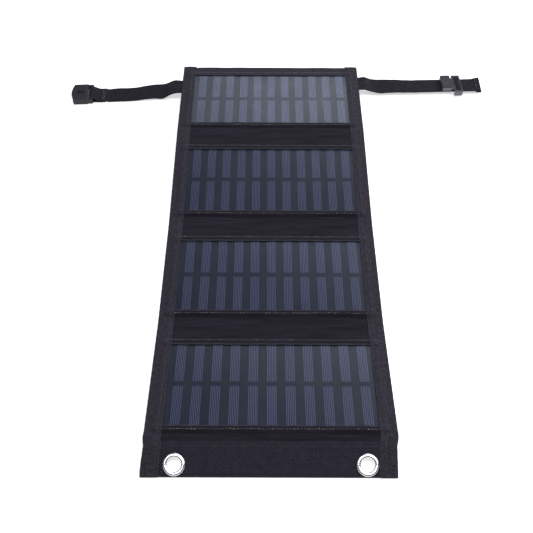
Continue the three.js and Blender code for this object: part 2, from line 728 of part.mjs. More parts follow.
const links = chain();
const totalRun = links.reduce((run, link) => run + link.length * Math.cos(link.tilt * DEG), 0);
const solarPanel = new THREE.Group();
let [y, z] = [totalRun / 2, BOX_RAISE + AXIS_Z];
for (const link of links) {
  link.group.name = link.name;
  link.group.position.set(0, y, z);
  link.group.rotation.x = -link.tilt * DEG;
  y -= link.length * Math.cos(link.tilt * DEG);
  z += link.length * Math.sin(link.tilt * DEG);
  solarPanel.add(link.group);
}
for (const piece of [regulatorBox(), strapAnchor(-1), strapAnchor(1), leftStrap(), rightStrap()]) {
  piece.position.y += totalRun / 2;
  solarPanel.add(piece);
}

export default solarPanel;
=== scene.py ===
"""Looks of the folding solar panel: cloth, tape, thread, webbing, cells, metal and plastic.

Lengths in this file are millimetres until mm_mesh() makes a mesh of them in metres.
A place on the panels is (x, s, w): x across, s along the cloth from the strap end to the flap,
and w off the fold lines' surface, towards the cells.
"""

import json
import math

import bpy
import numpy as np
from mathutils import Matrix, Vector


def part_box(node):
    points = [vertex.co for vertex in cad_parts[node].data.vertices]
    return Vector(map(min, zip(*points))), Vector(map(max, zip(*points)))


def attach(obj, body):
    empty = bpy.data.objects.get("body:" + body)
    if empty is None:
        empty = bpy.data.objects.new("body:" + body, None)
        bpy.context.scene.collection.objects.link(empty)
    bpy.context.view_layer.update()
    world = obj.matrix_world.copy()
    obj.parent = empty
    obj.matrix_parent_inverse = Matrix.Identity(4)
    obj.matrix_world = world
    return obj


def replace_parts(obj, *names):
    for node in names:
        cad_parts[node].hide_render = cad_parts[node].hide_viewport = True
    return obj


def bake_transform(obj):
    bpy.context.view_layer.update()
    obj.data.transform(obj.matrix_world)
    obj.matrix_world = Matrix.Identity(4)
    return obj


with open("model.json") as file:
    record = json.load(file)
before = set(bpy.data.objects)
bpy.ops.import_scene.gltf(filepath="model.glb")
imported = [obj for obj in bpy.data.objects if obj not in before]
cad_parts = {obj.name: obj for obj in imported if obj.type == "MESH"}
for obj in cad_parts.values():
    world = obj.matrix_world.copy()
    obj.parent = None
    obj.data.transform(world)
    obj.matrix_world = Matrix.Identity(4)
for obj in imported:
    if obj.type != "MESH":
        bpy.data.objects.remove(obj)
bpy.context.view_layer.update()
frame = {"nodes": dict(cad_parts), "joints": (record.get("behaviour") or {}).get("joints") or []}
rng = np.random.default_rng(11)

# ---- dimensions ---------------------------------------------------------------------------
MM = 0.001
FOLDS = [
    "fold_1_2", "fold_1_2_second", "fold_2_3", "fold_2_3_second",
    "fold_3_4", "fold_3_4_second", "fold_4_flap", "fold_4_flap_second",
]
BODIES = [
    "panel_1", "crease_1_2", "panel_2", "crease_2_3", "panel_3",
    "crease_3_4", "panel_4", "crease_4_flap", "flap",
]
FLAP_DROP = math.radians(27)  # how steeply the flap runs down
FLAP_BODY_L = 22.0
WINDOW_HALF = 81.5
WINDOW_L = 77.0
TOP_MARGIN = 15.5
WINDOW_START = 21.5  # from the second fold line of a crease
HALF_CREASE = 4.0
PANEL_HALF = 94.75
FLAP_HALF = 93.25

# Heights off the fold lines' surface.
GROUND = -0.725
BOARD_TOP = 1.225
CELL_TOP = 1.525
FILM_TOP = 1.925
CLOTH_LOW = 0.725  # top of the front cloth where it lies on the back cloth
CLOTH_LAP = 2.68  # top of the front cloth where it lies on a module
PLY = 0.46
HEM_PLY = 0.66
LAP_FLAT = 4.1  # how far from a window the cloth stays up on the module
LAP_FOOT = 7.4
STRIP_HALF = 83.6

TAPE_T = 0.5
TAPE_LOW = 0.80
TAPE_LEG = 13.25
TAPE_RAMP = (90.25, 86.3)
STITCH_PITCH = 2.65


def smooth(t):
    t = np.clip(t, 0, 1)
    return t * t * (3 - 2 * t)


# ---- the line that the cloth follows --------------------------------------------------------
joints = {j["name"]: j for j in frame["joints"]}
fold_points = [np.array(joints[name]["pos_m"][1:]) / MM for name in FOLDS]
top_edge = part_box("back_cloth_1")[1].y / MM
flap_way = np.array([-math.cos(FLAP_DROP), -math.sin(FLAP_DROP)])
KNOTS = np.array(
    [[top_edge, fold_points[0][1]], *fold_points, fold_points[-1] + FLAP_BODY_L * flap_way]
)
SPANS = np.linalg.norm(np.diff(KNOTS, axis=0), axis=1)
CUM = np.concatenate([[0], np.cumsum(SPANS)])
WAYS = np.diff(KNOTS, axis=0) / SPANS[:, None]
END_S = CUM[-1]
PANEL_S = [(CUM[2 * i], CUM[2 * i + 1]) for i in range(4)]
MID_CREASE = [(CUM[2 * i + 1] + CUM[2 * i + 2]) / 2 for i in range(4)]
WINDOWS = [
    (a + (TOP_MARGIN if i == 0 else WINDOW_START), a + (TOP_MARGIN if i == 0 else WINDOW_START) + WINDOW_L)
    for i, (a, _) in enumerate(PANEL_S)
]


def spine(s):
    """Points and unit directions, in (y, z), of the fold lines' surface at distances s."""
    s = np.asarray(s, float)
    k = np.clip(np.searchsorted(CUM, s, side="right") - 1, 0, len(SPANS) - 1)
    length = SPANS[k][..., None]
    u = ((s - CUM[k]) / SPANS[k])[..., None]
    a, b = KNOTS[k], KNOTS[k + 1]
    d0 = WAYS[np.maximum(k - 1, 0)] * length
    d1 = WAYS[np.minimum(k + 1, len(SPANS) - 1)] * length
    curve = (
        (2 * u**3 - 3 * u**2 + 1) * a + (u**3 - 2 * u**2 + u) * d0
        + (3 * u**2 - 2 * u**3) * b + (u**3 - u**2) * d1
    )
    slope = (
        (6 * u**2 - 6 * u) * a + (3 * u**2 - 4 * u + 1) * d0
        + (6 * u - 6 * u**2) * b + (3 * u**2 - 2 * u) * d1
    )
    bends = (k % 2 == 1)[..., None]
    point = np.where(bends, curve, a + (b - a) * u)
    way = np.where(bends, slope, b - a)
    return point, way / np.linalg.norm(way, axis=-1, keepdims=True)


def put(x, s, w):
    """Row-frame points, in millimetres, of places on the panels."""
    x, s, w = np.broadcast_arrays(np.asarray(x, float), np.asarray(s, float), np.asarray(w, float))
    point, way = spine(s)
    return np.stack([x, point[..., 0] + w * way[..., 1], point[..., 1] - w * way[..., 0]], -1)


def at(x, s, w):
    return Vector(put(x, s, w) * MM)


# ---- surface heights ----------------------------------------------------------------------
WAVES = [
    (rng.uniform(0.05, 0.22), rng.uniform(0.05, 0.35), rng.uniform(0, 6.28), rng.uniform(0.5, 1))
    for _ in range(14)
]
CREASE_MARKS = [
    (mid + rng.uniform(-13, 3), rng.uniform(-70, 70), rng.uniform(25, 60), rng.uniform(0.8, 1.6),
     rng.uniform(0.1, 0.24) * rng.choice([-1, 1]))
    for mid in MID_CREASE for _ in range(9)
]
TAPE_WAVES = [
    (rng.uniform(0.25, 1.1), rng.uniform(0, 6.28), rng.uniform(0.3, 1)) for _ in range(9)
]


def ruffle(x, s):
    """Slow unevenness of cloth, about -1 to 1."""
    total = sum(k * np.sin(a * x + b * s + p) for a, b, p, k in WAVES)
    return total / 4.2


def window_distance(s):
    """Distance outside the nearest window; negative inside one."""
    s = np.asarray(s, float)
    return np.min([np.maximum(a - s, s - b) for a, b in WINDOWS], axis=0)


def lap(s):
    """1 where front cloth lies up on a module, 0 where it lies on the back cloth."""
    return smooth((LAP_FOOT - window_distance(s)) / (LAP_FOOT - LAP_FLAT))


STITCH_AFTER = 3.4  # stitch line below a window
STITCH_BEFORE = 5.6  # stitch line above a window
STRIP_LINES = [a - STITCH_BEFORE for a, _ in WINDOWS] + [b + STITCH_AFTER for _, b in WINDOWS]


def dimples(s, lines, width):
    return sum(np.exp(-(((s - line) / width) ** 2)) for line in lines)


def front_top(x, s):
    """Top of the front cloth between windows."""
    up = lap(s)
    low_part = 1 - up
    height = CLOTH_LOW + (CLOTH_LAP - CLOTH_LOW) * up
    height = height + 0.16 * low_part * (1 + ruffle(x, s)) + 0.07 * up * ruffle(x, 3 * s)
    for mid, x0, wide, deep, tall in CREASE_MARKS:
        along = np.exp(-(((s - mid - 0.02 * (x - x0)) / deep) ** 2))
        height = height + low_part * tall * along * np.exp(-(((x - x0) / wide) ** 2))
    return height - 0.16 * dimples(s, STRIP_LINES, 0.8) * (0.75 + 0.25 * np.cos(6.2832 * x / STITCH_PITCH))


def tape_outer(s):
    """Half width over the tapes."""
    return PANEL_HALF - (PANEL_HALF - FLAP_HALF) * smooth((s - CUM[7]) / (CUM[8] - CUM[7]))


def tape_edge(side, s):
    """Half width over one side's tape: the left one wanders outward down the flap."""
    drift = 0.9 * smooth((s - CUM[7] + 4) / 10) + 2.0 * smooth((s - CUM[7] - 2) / 26)
    return tape_outer(s) + (drift if side < 0 else 0.0)


def tape_under(x, s):
    """Underside of the front leg of the tape; x is the distance from the middle."""
    over_strip = front_top(STRIP_HALF - 1.5, s) + 0.16
    over_film = FILM_TOP + 0.22
    share = smooth((window_distance(s) + 1.2) / 1.6)
    inner = over_film + (over_strip - over_film) * share
    flat = smooth((s - CUM[7]) / 3.0)
    inner = inner * (1 - flat) + (CLOTH_LOW + 0.14) * flat
    up = smooth((TAPE_RAMP[0] - x) / (TAPE_RAMP[0] - TAPE_RAMP[1]))
    return TAPE_LOW + (np.maximum(inner, TAPE_LOW) - TAPE_LOW) * up


def tape_pucker(x, s, side):
    """Unevenness of the tape between its stitches."""
    wave = sum(k * np.sin(f * s + p + 0.35 * side * x) for f, p, k in TAPE_WAVES) / 3
    fold = np.exp(-(((np.abs(s[..., None] - np.array(MID_CREASE)) / 3.2).min(-1)) ** 2))
    crown = np.exp(-(((x - 89.5) / 2.6) ** 2))
    return 0.13 * wave + 0.34 * fold * crown + 0.2 * crown


# ---- mesh making --------------------------------------------------------------------------
class Parts:
    """Gathers closed shells into one piece: points, faces, a uv per face corner, a material each."""

    def __init__(self):
        self.points, self.faces, self.uvs, self.slots, self.count = [], [], [], [], 0

    def add(self, points, faces, uvs=None, slot=0):
        points = np.asarray(points, float).reshape(-1, 3)
        if not faces:
            return self
        if shell_volume(points, faces) < 0:
            faces = [f[::-1] for f in faces]
            uvs = None if uvs is None else [u[::-1] for u in uvs]
        base = self.count
        self.points.append(points)
        self.faces += [tuple(base + i for i in f) for f in faces]
        self.uvs += [[(0.0, 0.0)] * len(f) for f in faces] if uvs is None else uvs
        self.slots += slot if isinstance(slot, list) else [slot] * len(faces)
        self.count += len(points)
        return self


def shell_volume(points, faces):
    total = 0.0
    origin = points.mean(0)
    p = points - origin
    tri = [(f[0], f[i], f[i + 1]) for f in faces for i in range(1, len(f) - 1)]
    t = np.array(tri)
    total = np.einsum("ij,ij->i", p[t[:, 0]], np.cross(p[t[:, 1]], p[t[:, 2]])).sum()
    return total


def mm_mesh(name, parts, materials, sharp=35):
    """One object from its parts, in metres."""
    mesh = bpy.data.meshes.new(name)
    mesh.from_pydata((np.concatenate(parts.points) * MM).tolist(), [], parts.faces)
    layer = mesh.uv_layers.new(name="cloth")
    layer.data.foreach_set("uv", np.array([c for f in parts.uvs for c in f], np.float32).ravel() * MM)
    mesh.polygons.foreach_set("material_index", parts.slots)
    mesh.polygons.foreach_set("use_smooth", [True] * len(parts.faces))
    for surface in materials:
        mesh.materials.append(surface)
    mesh.update()
    mesh.set_sharp_from_angle(angle=math.radians(sharp))
    made = bpy.data.objects.new(name, mesh)
    bpy.context.scene.collection.objects.link(made)
    return made


def loft(sections, along, around=None):
    """A closed shell through closed sections, shaped (stations, points, 3), with ends filled."""
    sections = np.asarray(sections, float)
    stations, count, _ = sections.shape
    if around is None:
        steps = np.linalg.norm(np.roll(sections, -1, 1) - sections, axis=-1).mean(0)
        around = np.concatenate([[0], np.cumsum(steps)])
    faces, uvs = [], []
    for k in range(stations - 1):
        for p in range(count):
            q = (p + 1) % count
            faces.append((k * count + p, (k + 1) * count + p, (k + 1) * count + q, k * count + q))
            a0, a1 = along[k], along[k + 1]
            r0, r1 = around[p], around[p + 1]
            uvs.append([(a0, r0), (a1, r0), (a1, r1), (a0, r1)])
    faces.append(tuple(range(count - 1, -1, -1)))
    uvs.append([(along[0], around[p]) for p in range(count - 1, -1, -1)])
    faces.append(tuple((stations - 1) * count + p for p in range(count)))
    uvs.append([(along[-1], around[p]) for p in range(count)])
    return sections.reshape(-1, 3), faces, uvs


def lathe(profile, sides, centre, across, ahead, up):
    """A ring from a closed (r, w) profile about the axis up."""
    turn = np.linspace(0, 2 * math.pi, sides, endpoint=False)
    r, w = np.array(profile).T
    ring = (
        np.asarray(centre)
        + (np.cos(turn)[:, None, None] * across + np.sin(turn)[:, None, None] * ahead) * r[None, :, None]
        + np.asarray(up) * w[None, :, None]
    )
    count = len(profile)
    faces = []
    for k in range(sides):
        j = (k + 1) % sides
        for p in range(count):
            q = (p + 1) % count
            faces.append((k * count + p, j * count + p, j * count + q, k * count + q))
    return ring.reshape(-1, 3), faces


def edged(stations, count, picked, slot):
    """Slots of a loft's faces: slot for those between picked points of the section, else 0."""
    row = [slot if p in picked else 0 for p in range(count)]
    return row * (stations - 1) + [0, 0]


THREAD_SHAPE = [(0.0, 0.45, -0.2), (0.16, 0.95, -0.02), (0.5, 1.0, 0.05), (0.84, 0.95, -0.02), (1.0, 0.45, -0.2)]


def thread(points, normals, pitch=STITCH_PITCH, length=2.1, radius=0.19, jitter=0.08):
    """Stitches along a line of points: short rounded lengths whose ends dive into the cloth."""
    points, normals = np.asarray(points, float), np.asarray(normals, float)
    steps = np.concatenate([[0], np.cumsum(np.linalg.norm(np.diff(points, axis=0), axis=1))])
    count = int((steps[-1] + pitch - length) // pitch)
    if count < 1:
        return np.zeros((0, 3)), [], []
    lead = (steps[-1] - (count - 1) * pitch - length) / 2
    starts = lead + np.arange(count) * pitch + rng.normal(0, 0.05, count)
    lengths = length * rng.uniform(0.92, 1.04, count)
    shape = np.array(THREAD_SHAPE)
    where = starts[:, None] + shape[None, :, 0] * lengths[:, None]
    centre = np.stack([np.interp(where, steps, points[:, i]) for i in range(3)], -1)
    up = np.stack([np.interp(where, steps, normals[:, i]) for i in range(3)], -1)
    ahead = centre[:, -1:] - centre[:, :1]
    ahead = ahead / np.linalg.norm(ahead, axis=-1, keepdims=True)
    side = np.cross(ahead, up)
    side = side / np.linalg.norm(side, axis=-1, keepdims=True)
    sway = rng.normal(0, jitter, (count, 1)) + rng.normal(0, jitter, (count, 1)) * (shape[None, :, 0] - 0.5)
    centre = centre + side * sway[..., None] + up * shape[None, :, 2, None]
    turn = np.linspace(0, 2 * math.pi, 6, endpoint=False)
    ring = side[:, :, None] * np.cos(turn)[None, None, :, None] + up[:, :, None] * np.sin(turn)[None, None, :, None]
    shell = centre[:, :, None] + ring * (radius * shape[None, :, 1])[..., None, None]
    faces, uvs = [], []
    own = rng.uniform(0, 400, (count, 2))
    for k in range(count):
        base = k * 30
        for j in range(4):
            for p in range(6):
                q = (p + 1) % 6
                faces.append((base + j * 6 + p, base + j * 6 + q, base + j * 6 + 6 + q, base + j * 6 + 6 + p))
        faces.append(tuple(base + p for p in range(5, -1, -1)))
        faces.append(tuple(base + 24 + p for p in range(6)))
        spot = tuple(own[k])
        uvs += [[spot] * 4] * 24 + [[spot] * 6] * 2
    return shell.reshape(-1, 3), faces, uvs


def seam_across(s, x0, x1, height, below=False, **how):
    """A row of stitches across a panel at distance s."""
    x = np.arange(x0, x1 + 0.5, 0.5)
    points = put(x, np.full_like(x, s), height(x, np.full_like(x, s)))
    normals = put(x, s, 1) - put(x, s, 0)
    return thread(points, -normals if below else normals, **how)


def seam_along(x, s0, s1, height, below=False, **how):
    """A row of stitches along a panel; x may be a function of s."""
    s = np.arange(s0, s1 + 0.25, 0.5)
    where = x(s) if callable(x) else np.full_like(s, x)
    points = put(where, s, height(where, s))
    normals = put(where, s, 1) - put(where, s, 0)
    return thread(points, -normals if below else normals, **how)


# ---- materials ----------------------------------------------------------------------------
class Graph:
    """A material whose nodes are added by short calls."""

    def __init__(self, name):
        self.material = bpy.data.materials.new(name)
        self.material.use_nodes = True
        self.tree = self.material.node_tree
        self.tree.nodes.clear()
        self.shader = self.tree.nodes.new("ShaderNodeBsdfPrincipled")
        output = self.tree.nodes.new("ShaderNodeOutputMaterial")
        self.tree.links.new(self.shader.outputs[0], output.inputs[0])

    def plug(self, socket, value):
        if isinstance(value, bpy.types.NodeSocket):
            self.tree.links.new(value, socket)
        elif value is not None:
            socket.default_value = value

    def node(self, kind, settings=None, **inputs):
        made = self.tree.nodes.new(kind)
        for key, value in (settings or {}).items():
            setattr(made, key, value)
        for key, value in inputs.items():
            self.plug(made.inputs[key.replace("_", " ")], value)
        return made

    def math(self, operation, a, b=None, c=None):
        made = self.tree.nodes.new("ShaderNodeMath")
        made.operation = operation
        for socket, value in zip(made.inputs, (a, b, c)):
            self.plug(socket, value)
        return made.outputs[0]

    def uv(self):
        """Cloth coordinates in millimetres: u and v."""
        source = self.node("ShaderNodeUVMap", {"uv_map": "cloth"}).outputs[0]
        scaled = self.tree.nodes.new("ShaderNodeVectorMath")
        scaled.operation = "SCALE"
        self.plug(scaled.inputs[0], source)
        scaled.inputs["Scale"].default_value = 1000.0
        return scaled.outputs[0]

    def place(self):
        """Row-frame coordinates in millimetres."""
        source = self.node("ShaderNodeTexCoord").outputs["Object"]
        scaled = self.tree.nodes.new("ShaderNodeVectorMath")
        scaled.operation = "SCALE"
        self.plug(scaled.inputs[0], source)
        scaled.inputs["Scale"].default_value = 1000.0
        return scaled.outputs[0]

    def split(self, vector):
        return self.node("ShaderNodeSeparateXYZ", Vector=vector).outputs

    def noise(self, vector, size, detail=3.0, rough=0.55):
        made = self.node("ShaderNodeTexNoise", Vector=vector, Scale=1.0 / size, Detail=detail, Roughness=rough)
        return made.outputs["Fac"]

    def ripple(self, value, pitch, phase=0.0):
        """A sine of value with this pitch."""
        turned = self.math("MULTIPLY_ADD", value, 2 * math.pi / pitch, phase)
        return self.math("SINE", turned)

    def ramp(self, value, low, high, out_low, out_high):
        made = self.node("ShaderNodeMapRange", Value=value)
        for key, number in (("From Min", low), ("From Max", high), ("To Min", out_low), ("To Max", out_high)):
            made.inputs[key].default_value = number
        return made.outputs["Result"]

    def mix(self, share, a, b):
        made = self.tree.nodes.new("ShaderNodeMix")
        made.data_type = "RGBA"
        self.plug(made.inputs["Factor"], share)
        self.plug(made.inputs[6], a if isinstance(a, bpy.types.NodeSocket) else (*a, 1))
        self.plug(made.inputs[7], b if isinstance(b, bpy.types.NodeSocket) else (*b, 1))
        return made.outputs[2]

    def bump(self, height, distance, strength=1.0, normal=None):
        made = self.node("ShaderNodeBump", Strength=strength, Height=height)
        made.inputs["Distance"].default_value = distance * MM
        self.plug(made.inputs["Normal"], normal)
        return made.outputs[0]

    def finish(self, **inputs):
        for key, value in inputs.items():
            socket = self.shader.inputs[key.replace("_", " ")]
            if isinstance(value, tuple) and len(value) == 3:
                value = (*value, 1)
            self.plug(socket, value)
        return self.material


def cloth_material(name, dark, light, weave, pitch, relief, share=0.5, mottle=9.0, pull=1.0, slack=0.35):
    """Woven cloth between two tones.

    share is how much of the tone the weave itself makes. The creases are mottle apart and slack
    deep, and pull below 1 draws them out along u.
    """
    g = Graph(name)
    uv = g.uv()
    u, v = g.split(uv)[0], g.split(uv)[1]
    if weave == "twill":
        over = g.ripple(g.math("ADD", u, v), pitch)
        under = g.ripple(g.math("SUBTRACT", u, v), pitch)
        grain = g.math("MAXIMUM", over, under)
    elif weave == "rib":
        over = g.ripple(u, pitch)
        grain = g.math("MULTIPLY_ADD", over, 0.8, g.math("MULTIPLY", g.ripple(v, pitch * 1.3), 0.2))
    elif weave == "basket":
        column = g.math("FLOOR", g.math("DIVIDE", u, 2.1))
        over = g.math("SINE", g.math("MULTIPLY_ADD", v, 2 * math.pi / pitch, g.math("MULTIPLY", column, math.pi)))
        valley = g.math("ABSOLUTE", g.ripple(u, 4.2))
        grain = g.math("MULTIPLY", over, g.math("POWER", valley, 0.35))
    else:
        grain = g.math("MULTIPLY", g.ripple(u, pitch), g.ripple(v, pitch))
    fibres = g.noise(uv, 0.35, 2.0)
    drawn = g.node("ShaderNodeVectorMath", {"operation": "MULTIPLY"})
    g.plug(drawn.inputs[0], uv)
    drawn.inputs[1].default_value = (pull, 1.0, 1.0)
    crease_noise = g.noise(drawn.outputs[0], mottle, 4.0, 0.62)
    slubs = g.noise(drawn.outputs[0], 2.2, 2.0)
    rest = (1 - share) / 3
    tone = g.math("ADD", g.ramp(grain, -1.0, 1.0, 0.0, share), g.ramp(fibres, 0.3, 0.7, 0.0, rest))
    tone = g.math("ADD", tone, g.ramp(slubs, 0.3, 0.7, 0.0, rest))
    # The crease noise also sets part of the tone, darker in the crease hollows and lighter on their crests: besides
    # random mottle, this is painted shade and painted light on the creases.
    tone = g.math("ADD", tone, g.ramp(crease_noise, 0.3, 0.7, -0.1, rest))
    colour = g.mix(g.node("ShaderNodeClamp", Value=tone).outputs[0], dark, light)
    height = g.math("ADD", grain, g.math("MULTIPLY", fibres, 0.8))
    drape = g.bump(g.math("ADD", crease_noise, g.math("MULTIPLY", slubs, 0.35)), slack, 0.8)
    return g.finish(
        Base_Color=colour,
        Roughness=g.ramp(crease_noise, 0.3, 0.7, 0.85, 0.62),
        Normal=g.bump(height, relief, 1.0, drape),
        Specular_IOR_Level=0.2,
        Sheen_Weight=0.05,
        Sheen_Roughness=0.45,
        Sheen_Tint=(0.75, 0.8, 1.0),
    )


def plastic_material(name, dark, light, grain_size, relief, rough, side=None):
    """Moulded plastic with a spark-eroded grain; side is a painted tone for the side walls, mixed in by how far a face
    turns sideways and standing in for how the light falls on them; the walls are also smoother.
    """
    g = Graph(name)
    place = g.place()
    grain = g.noise(place, grain_size, 2.0)
    broad = g.noise(place, 7.0, 3.0)
    speck = g.noise(place, grain_size * 2.5, 2.0)
    tone = g.math("ADD", g.ramp(broad, 0.3, 0.7, 0.0, 0.5), g.ramp(speck, 0.3, 0.7, 0.0, 0.5))
    colour = g.mix(tone, dark, light)
    roughness = g.ramp(broad, 0.35, 0.7, rough[0], rough[1])
    if side:
        # Painted light and shade: faces turned sideways take the tone side in place of their own colour.
        facing = g.node("ShaderNodeTexCoord").outputs["Normal"]
        painted_wall_share = g.ramp(g.math("ABSOLUTE", g.split(facing)[2]), 0.35, 0.6, 1.0, 0.0)
        colour = g.mix(painted_wall_share, colour, side)
        roughness = g.math("MULTIPLY", roughness, g.ramp(painted_wall_share, 0.0, 1.0, 1.0, 0.65))
    return g.finish(
        Base_Color=colour,
        Roughness=roughness,
        Normal=g.bump(grain, relief, 1.0),
        Specular_IOR_Level=0.35,
    )


def metal_material(name, colour, shade, rough, scratch):
    """Plated metal with faint turning marks and handling scratches."""
    g = Graph(name)
    place = g.place()
    stretched = g.node("ShaderNodeVectorMath", {"operation": "MULTIPLY"})
    g.plug(stretched.inputs[0], place)
    stretched.inputs[1].default_value = (1.0, 6.0, 1.0)
    marks = g.noise(stretched.outputs[0], 1.1, 4.0)
    tarnish = g.noise(place, 3.5, 4.0)
    return g.finish(
        Base_Color=g.mix(g.ramp(tarnish, 0.35, 0.75, 0.0, 1.0), colour, shade),
        Metallic=1.0,
        Roughness=g.ramp(marks, 0.3, 0.7, rough[0], rough[1]),
        Normal=g.bump(marks, scratch, 1.0),
    )


def thread_material(name, dark, light, bright_share):
    """Thread whose stitches each get a random painted glint, as if catching the light differently; bright_share of them
    stand out.
    """
    g = Graph(name)
    place = g.place()
    own = g.node("ShaderNodeTexWhiteNoise", {"noise_dimensions": "2D"})
    g.plug(own.inputs["Vector"], g.uv())
    painted_glint = g.ramp(own.outputs["Value"], 1 - bright_share - 0.25, 1 - bright_share + 0.25, 0.0, 0.75)
    twist = g.noise(place, 0.45, 2.0)
    tone = g.math("MULTIPLY_ADD", twist, 0.3, painted_glint)
    return g.finish(
        Base_Color=g.mix(g.node("ShaderNodeClamp", Value=tone).outputs[0], dark, light),
        Roughness=g.ramp(twist, 0.3, 0.7, 0.45, 0.65),
        Normal=g.bump(twist, 0.06),
        Sheen_Weight=0.2,
    )


def board_material():
    """Blue-grey laminate behind the cells, with a fine embossed grain."""
    g = Graph("module_board")
    place = g.place()
    cloudy = g.noise(place, 14.0, 4.0)
    emboss = g.noise(place, 0.6, 2.0)
    x, y, _ = g.split(place)
    return g.finish(
        Base_Color=g.mix(g.ramp(cloudy, 0.3, 0.7, 0.0, 1.0), (0.005, 0.0065, 0.017), (0.0085, 0.011, 0.025)),
        Roughness=g.ramp(cloudy, 0.3, 0.7, 0.38, 0.5),
        Normal=g.bump(emboss, 0.03),
    )


def cell_material():
    """Silicon: each cell a little different, with faint crystal shading along it."""
    g = Graph("solar_cell")
    place = g.place()
    x, y, _ = g.split(place)
    index = g.math("FLOOR", g.math("MULTIPLY_ADD", x, 1 / 14.6, 0.5))
    row = g.math("FLOOR", g.math("MULTIPLY", y, 1 / 38.5))
    own = g.node("ShaderNodeTexWhiteNoise", {"noise_dimensions": "2D"})
    both = g.node("ShaderNodeCombineXYZ", X=index, Y=row)
    g.plug(own.inputs["Vector"], both.outputs[0])
    stretched = g.node("ShaderNodeVectorMath", {"operation": "MULTIPLY"})
    g.plug(stretched.inputs[0], place)
    stretched.inputs[1].default_value = (3.0, 0.35, 1.0)
    streaks = g.noise(stretched.outputs[0], 2.4, 3.0)
    share = g.math("MULTIPLY_ADD", own.outputs["Value"], 0.5, g.math("MULTIPLY", streaks, 0.6))
    return g.finish(
        Base_Color=g.mix(share, (0.011, 0.0135, 0.052), (0.021, 0.025, 0.078)),
        Roughness=g.ramp(streaks, 0.3, 0.7, 0.28, 0.42),
        Metallic=0.0,
        Normal=g.bump(streaks, 0.02),
    )


def film_material():
    """Clear satin film with a slight orange-peel."""
    g = Graph("clear_film")
    place = g.place()
    peel = g.noise(place, 2.2, 3.0)
    smear = g.noise(place, 22.0, 4.0)
    return g.finish(
        Base_Color=(0.008, 0.013, 0.032),
        Roughness=g.ramp(smear, 0.3, 0.7, 0.24, 0.36),
        IOR=1.55,
        Alpha=0.22,
        Normal=g.bump(peel, 0.05),
    )


def circuit_material():
    """Green solder mask with a grid of pale tracks."""
    g = Graph("circuit_board")
    place = g.place()
    bricks = g.node("ShaderNodeTexBrick", Vector=place, Scale=0.22)
    bricks.inputs["Color1"].default_value = (0.012, 0.085, 0.03, 1)
    bricks.inputs["Color2"].default_value = (0.016, 0.11, 0.04, 1)
    bricks.inputs["Mortar"].default_value = (0.1, 0.26, 0.12, 1)
    fine = g.noise(place, 1.2, 2.0)
    return g.finish(
        Base_Color=bricks.outputs["Color"],
        Roughness=g.ramp(fine, 0.3, 0.7, 0.3, 0.5),
        Normal=g.bump(bricks.outputs["Fac"], -0.05),
    )


STRIP_CLOTH = cloth_material(
    "front_cloth", (0.0005, 0.0002, 0.0014), (0.0162, 0.0112, 0.0228), "plain", 0.7, 0.09, 0.2, 5.0,
    pull=0.09, slack=1.2,
)
# Painted highlight: a lighter copy of the strip cloth for the faces round each folded edge, standing in for the light
# the rounded fold catches.
STRIP_FOLD_HIGHLIGHT = cloth_material("front_cloth_fold_highlight", (0.008, 0.0075, 0.01), (0.055, 0.052, 0.068), "plain", 0.62, 0.05)
# Painted light: the top hem's cloth is a lighter copy of the strip cloth, standing in for the brighter light at the
# top; its rib weave is its own.
HEM_CLOTH_PAINTED_LIGHT = cloth_material("hem_cloth_painted_light", (0.0015, 0.001, 0.0024), (0.05, 0.042, 0.063), "rib", 0.9, 0.1, 0.26, 3.0)
FLAP_CLOTH = cloth_material("flap_cloth", (0.0002, 0.0001, 0.0006), (0.026, 0.021, 0.037), "twill", 2.4, 0.22, 0.85, 6.0)
# Painted highlight: a lighter copy of the flap cloth for the rounded hem at the free edge.
FLAP_HEM_HIGHLIGHT = cloth_material("flap_hem_highlight", (0.006, 0.0055, 0.009), (0.05, 0.05, 0.066), "twill", 1.6, 0.06)
BACK_CLOTH = cloth_material("back_cloth", (0.004, 0.0038, 0.005), (0.018, 0.017, 0.022), "plain", 0.8, 0.05, mottle=16.0)
TAPE_CLOTH = cloth_material("binding_tape", (0.0008, 0.0005, 0.0016), (0.048, 0.0395, 0.06), "rib", 0.9, 0.12, 0.24, 2.8)
# Painted highlight: a lighter copy of the tape cloth for the faces along the tape's inner edge.
TAPE_EDGE_HIGHLIGHT = cloth_material("binding_edge_highlight", (0.008, 0.0075, 0.01), (0.06, 0.057, 0.072), "rib", 0.9, 0.07, mottle=4.5)
WEBBING = cloth_material("webbing", (0.0008, 0.0006, 0.0014), (0.0155, 0.0125, 0.0215), "basket", 1.7, 0.18, 0.5, 4.0)
THREAD = thread_material("thread", (0.014, 0.013, 0.016), (0.34, 0.32, 0.34), 0.3)
BLACK_THREAD = thread_material("black_thread", (0.0015, 0.0013, 0.002), (0.008, 0.007, 0.01), 0.2)
DARK_THREAD = thread_material("dark_thread", (0.006, 0.0055, 0.007), (0.05, 0.047, 0.055), 0.3)
# The socket's side walls are painted darker than its top: painted shade.
BUCKLE = plastic_material("buckle_plastic", (0.006, 0.0056, 0.009), (0.0165, 0.0155, 0.024), 0.5, 0.05, (0.45, 0.6), (0.006, 0.0056, 0.0085))
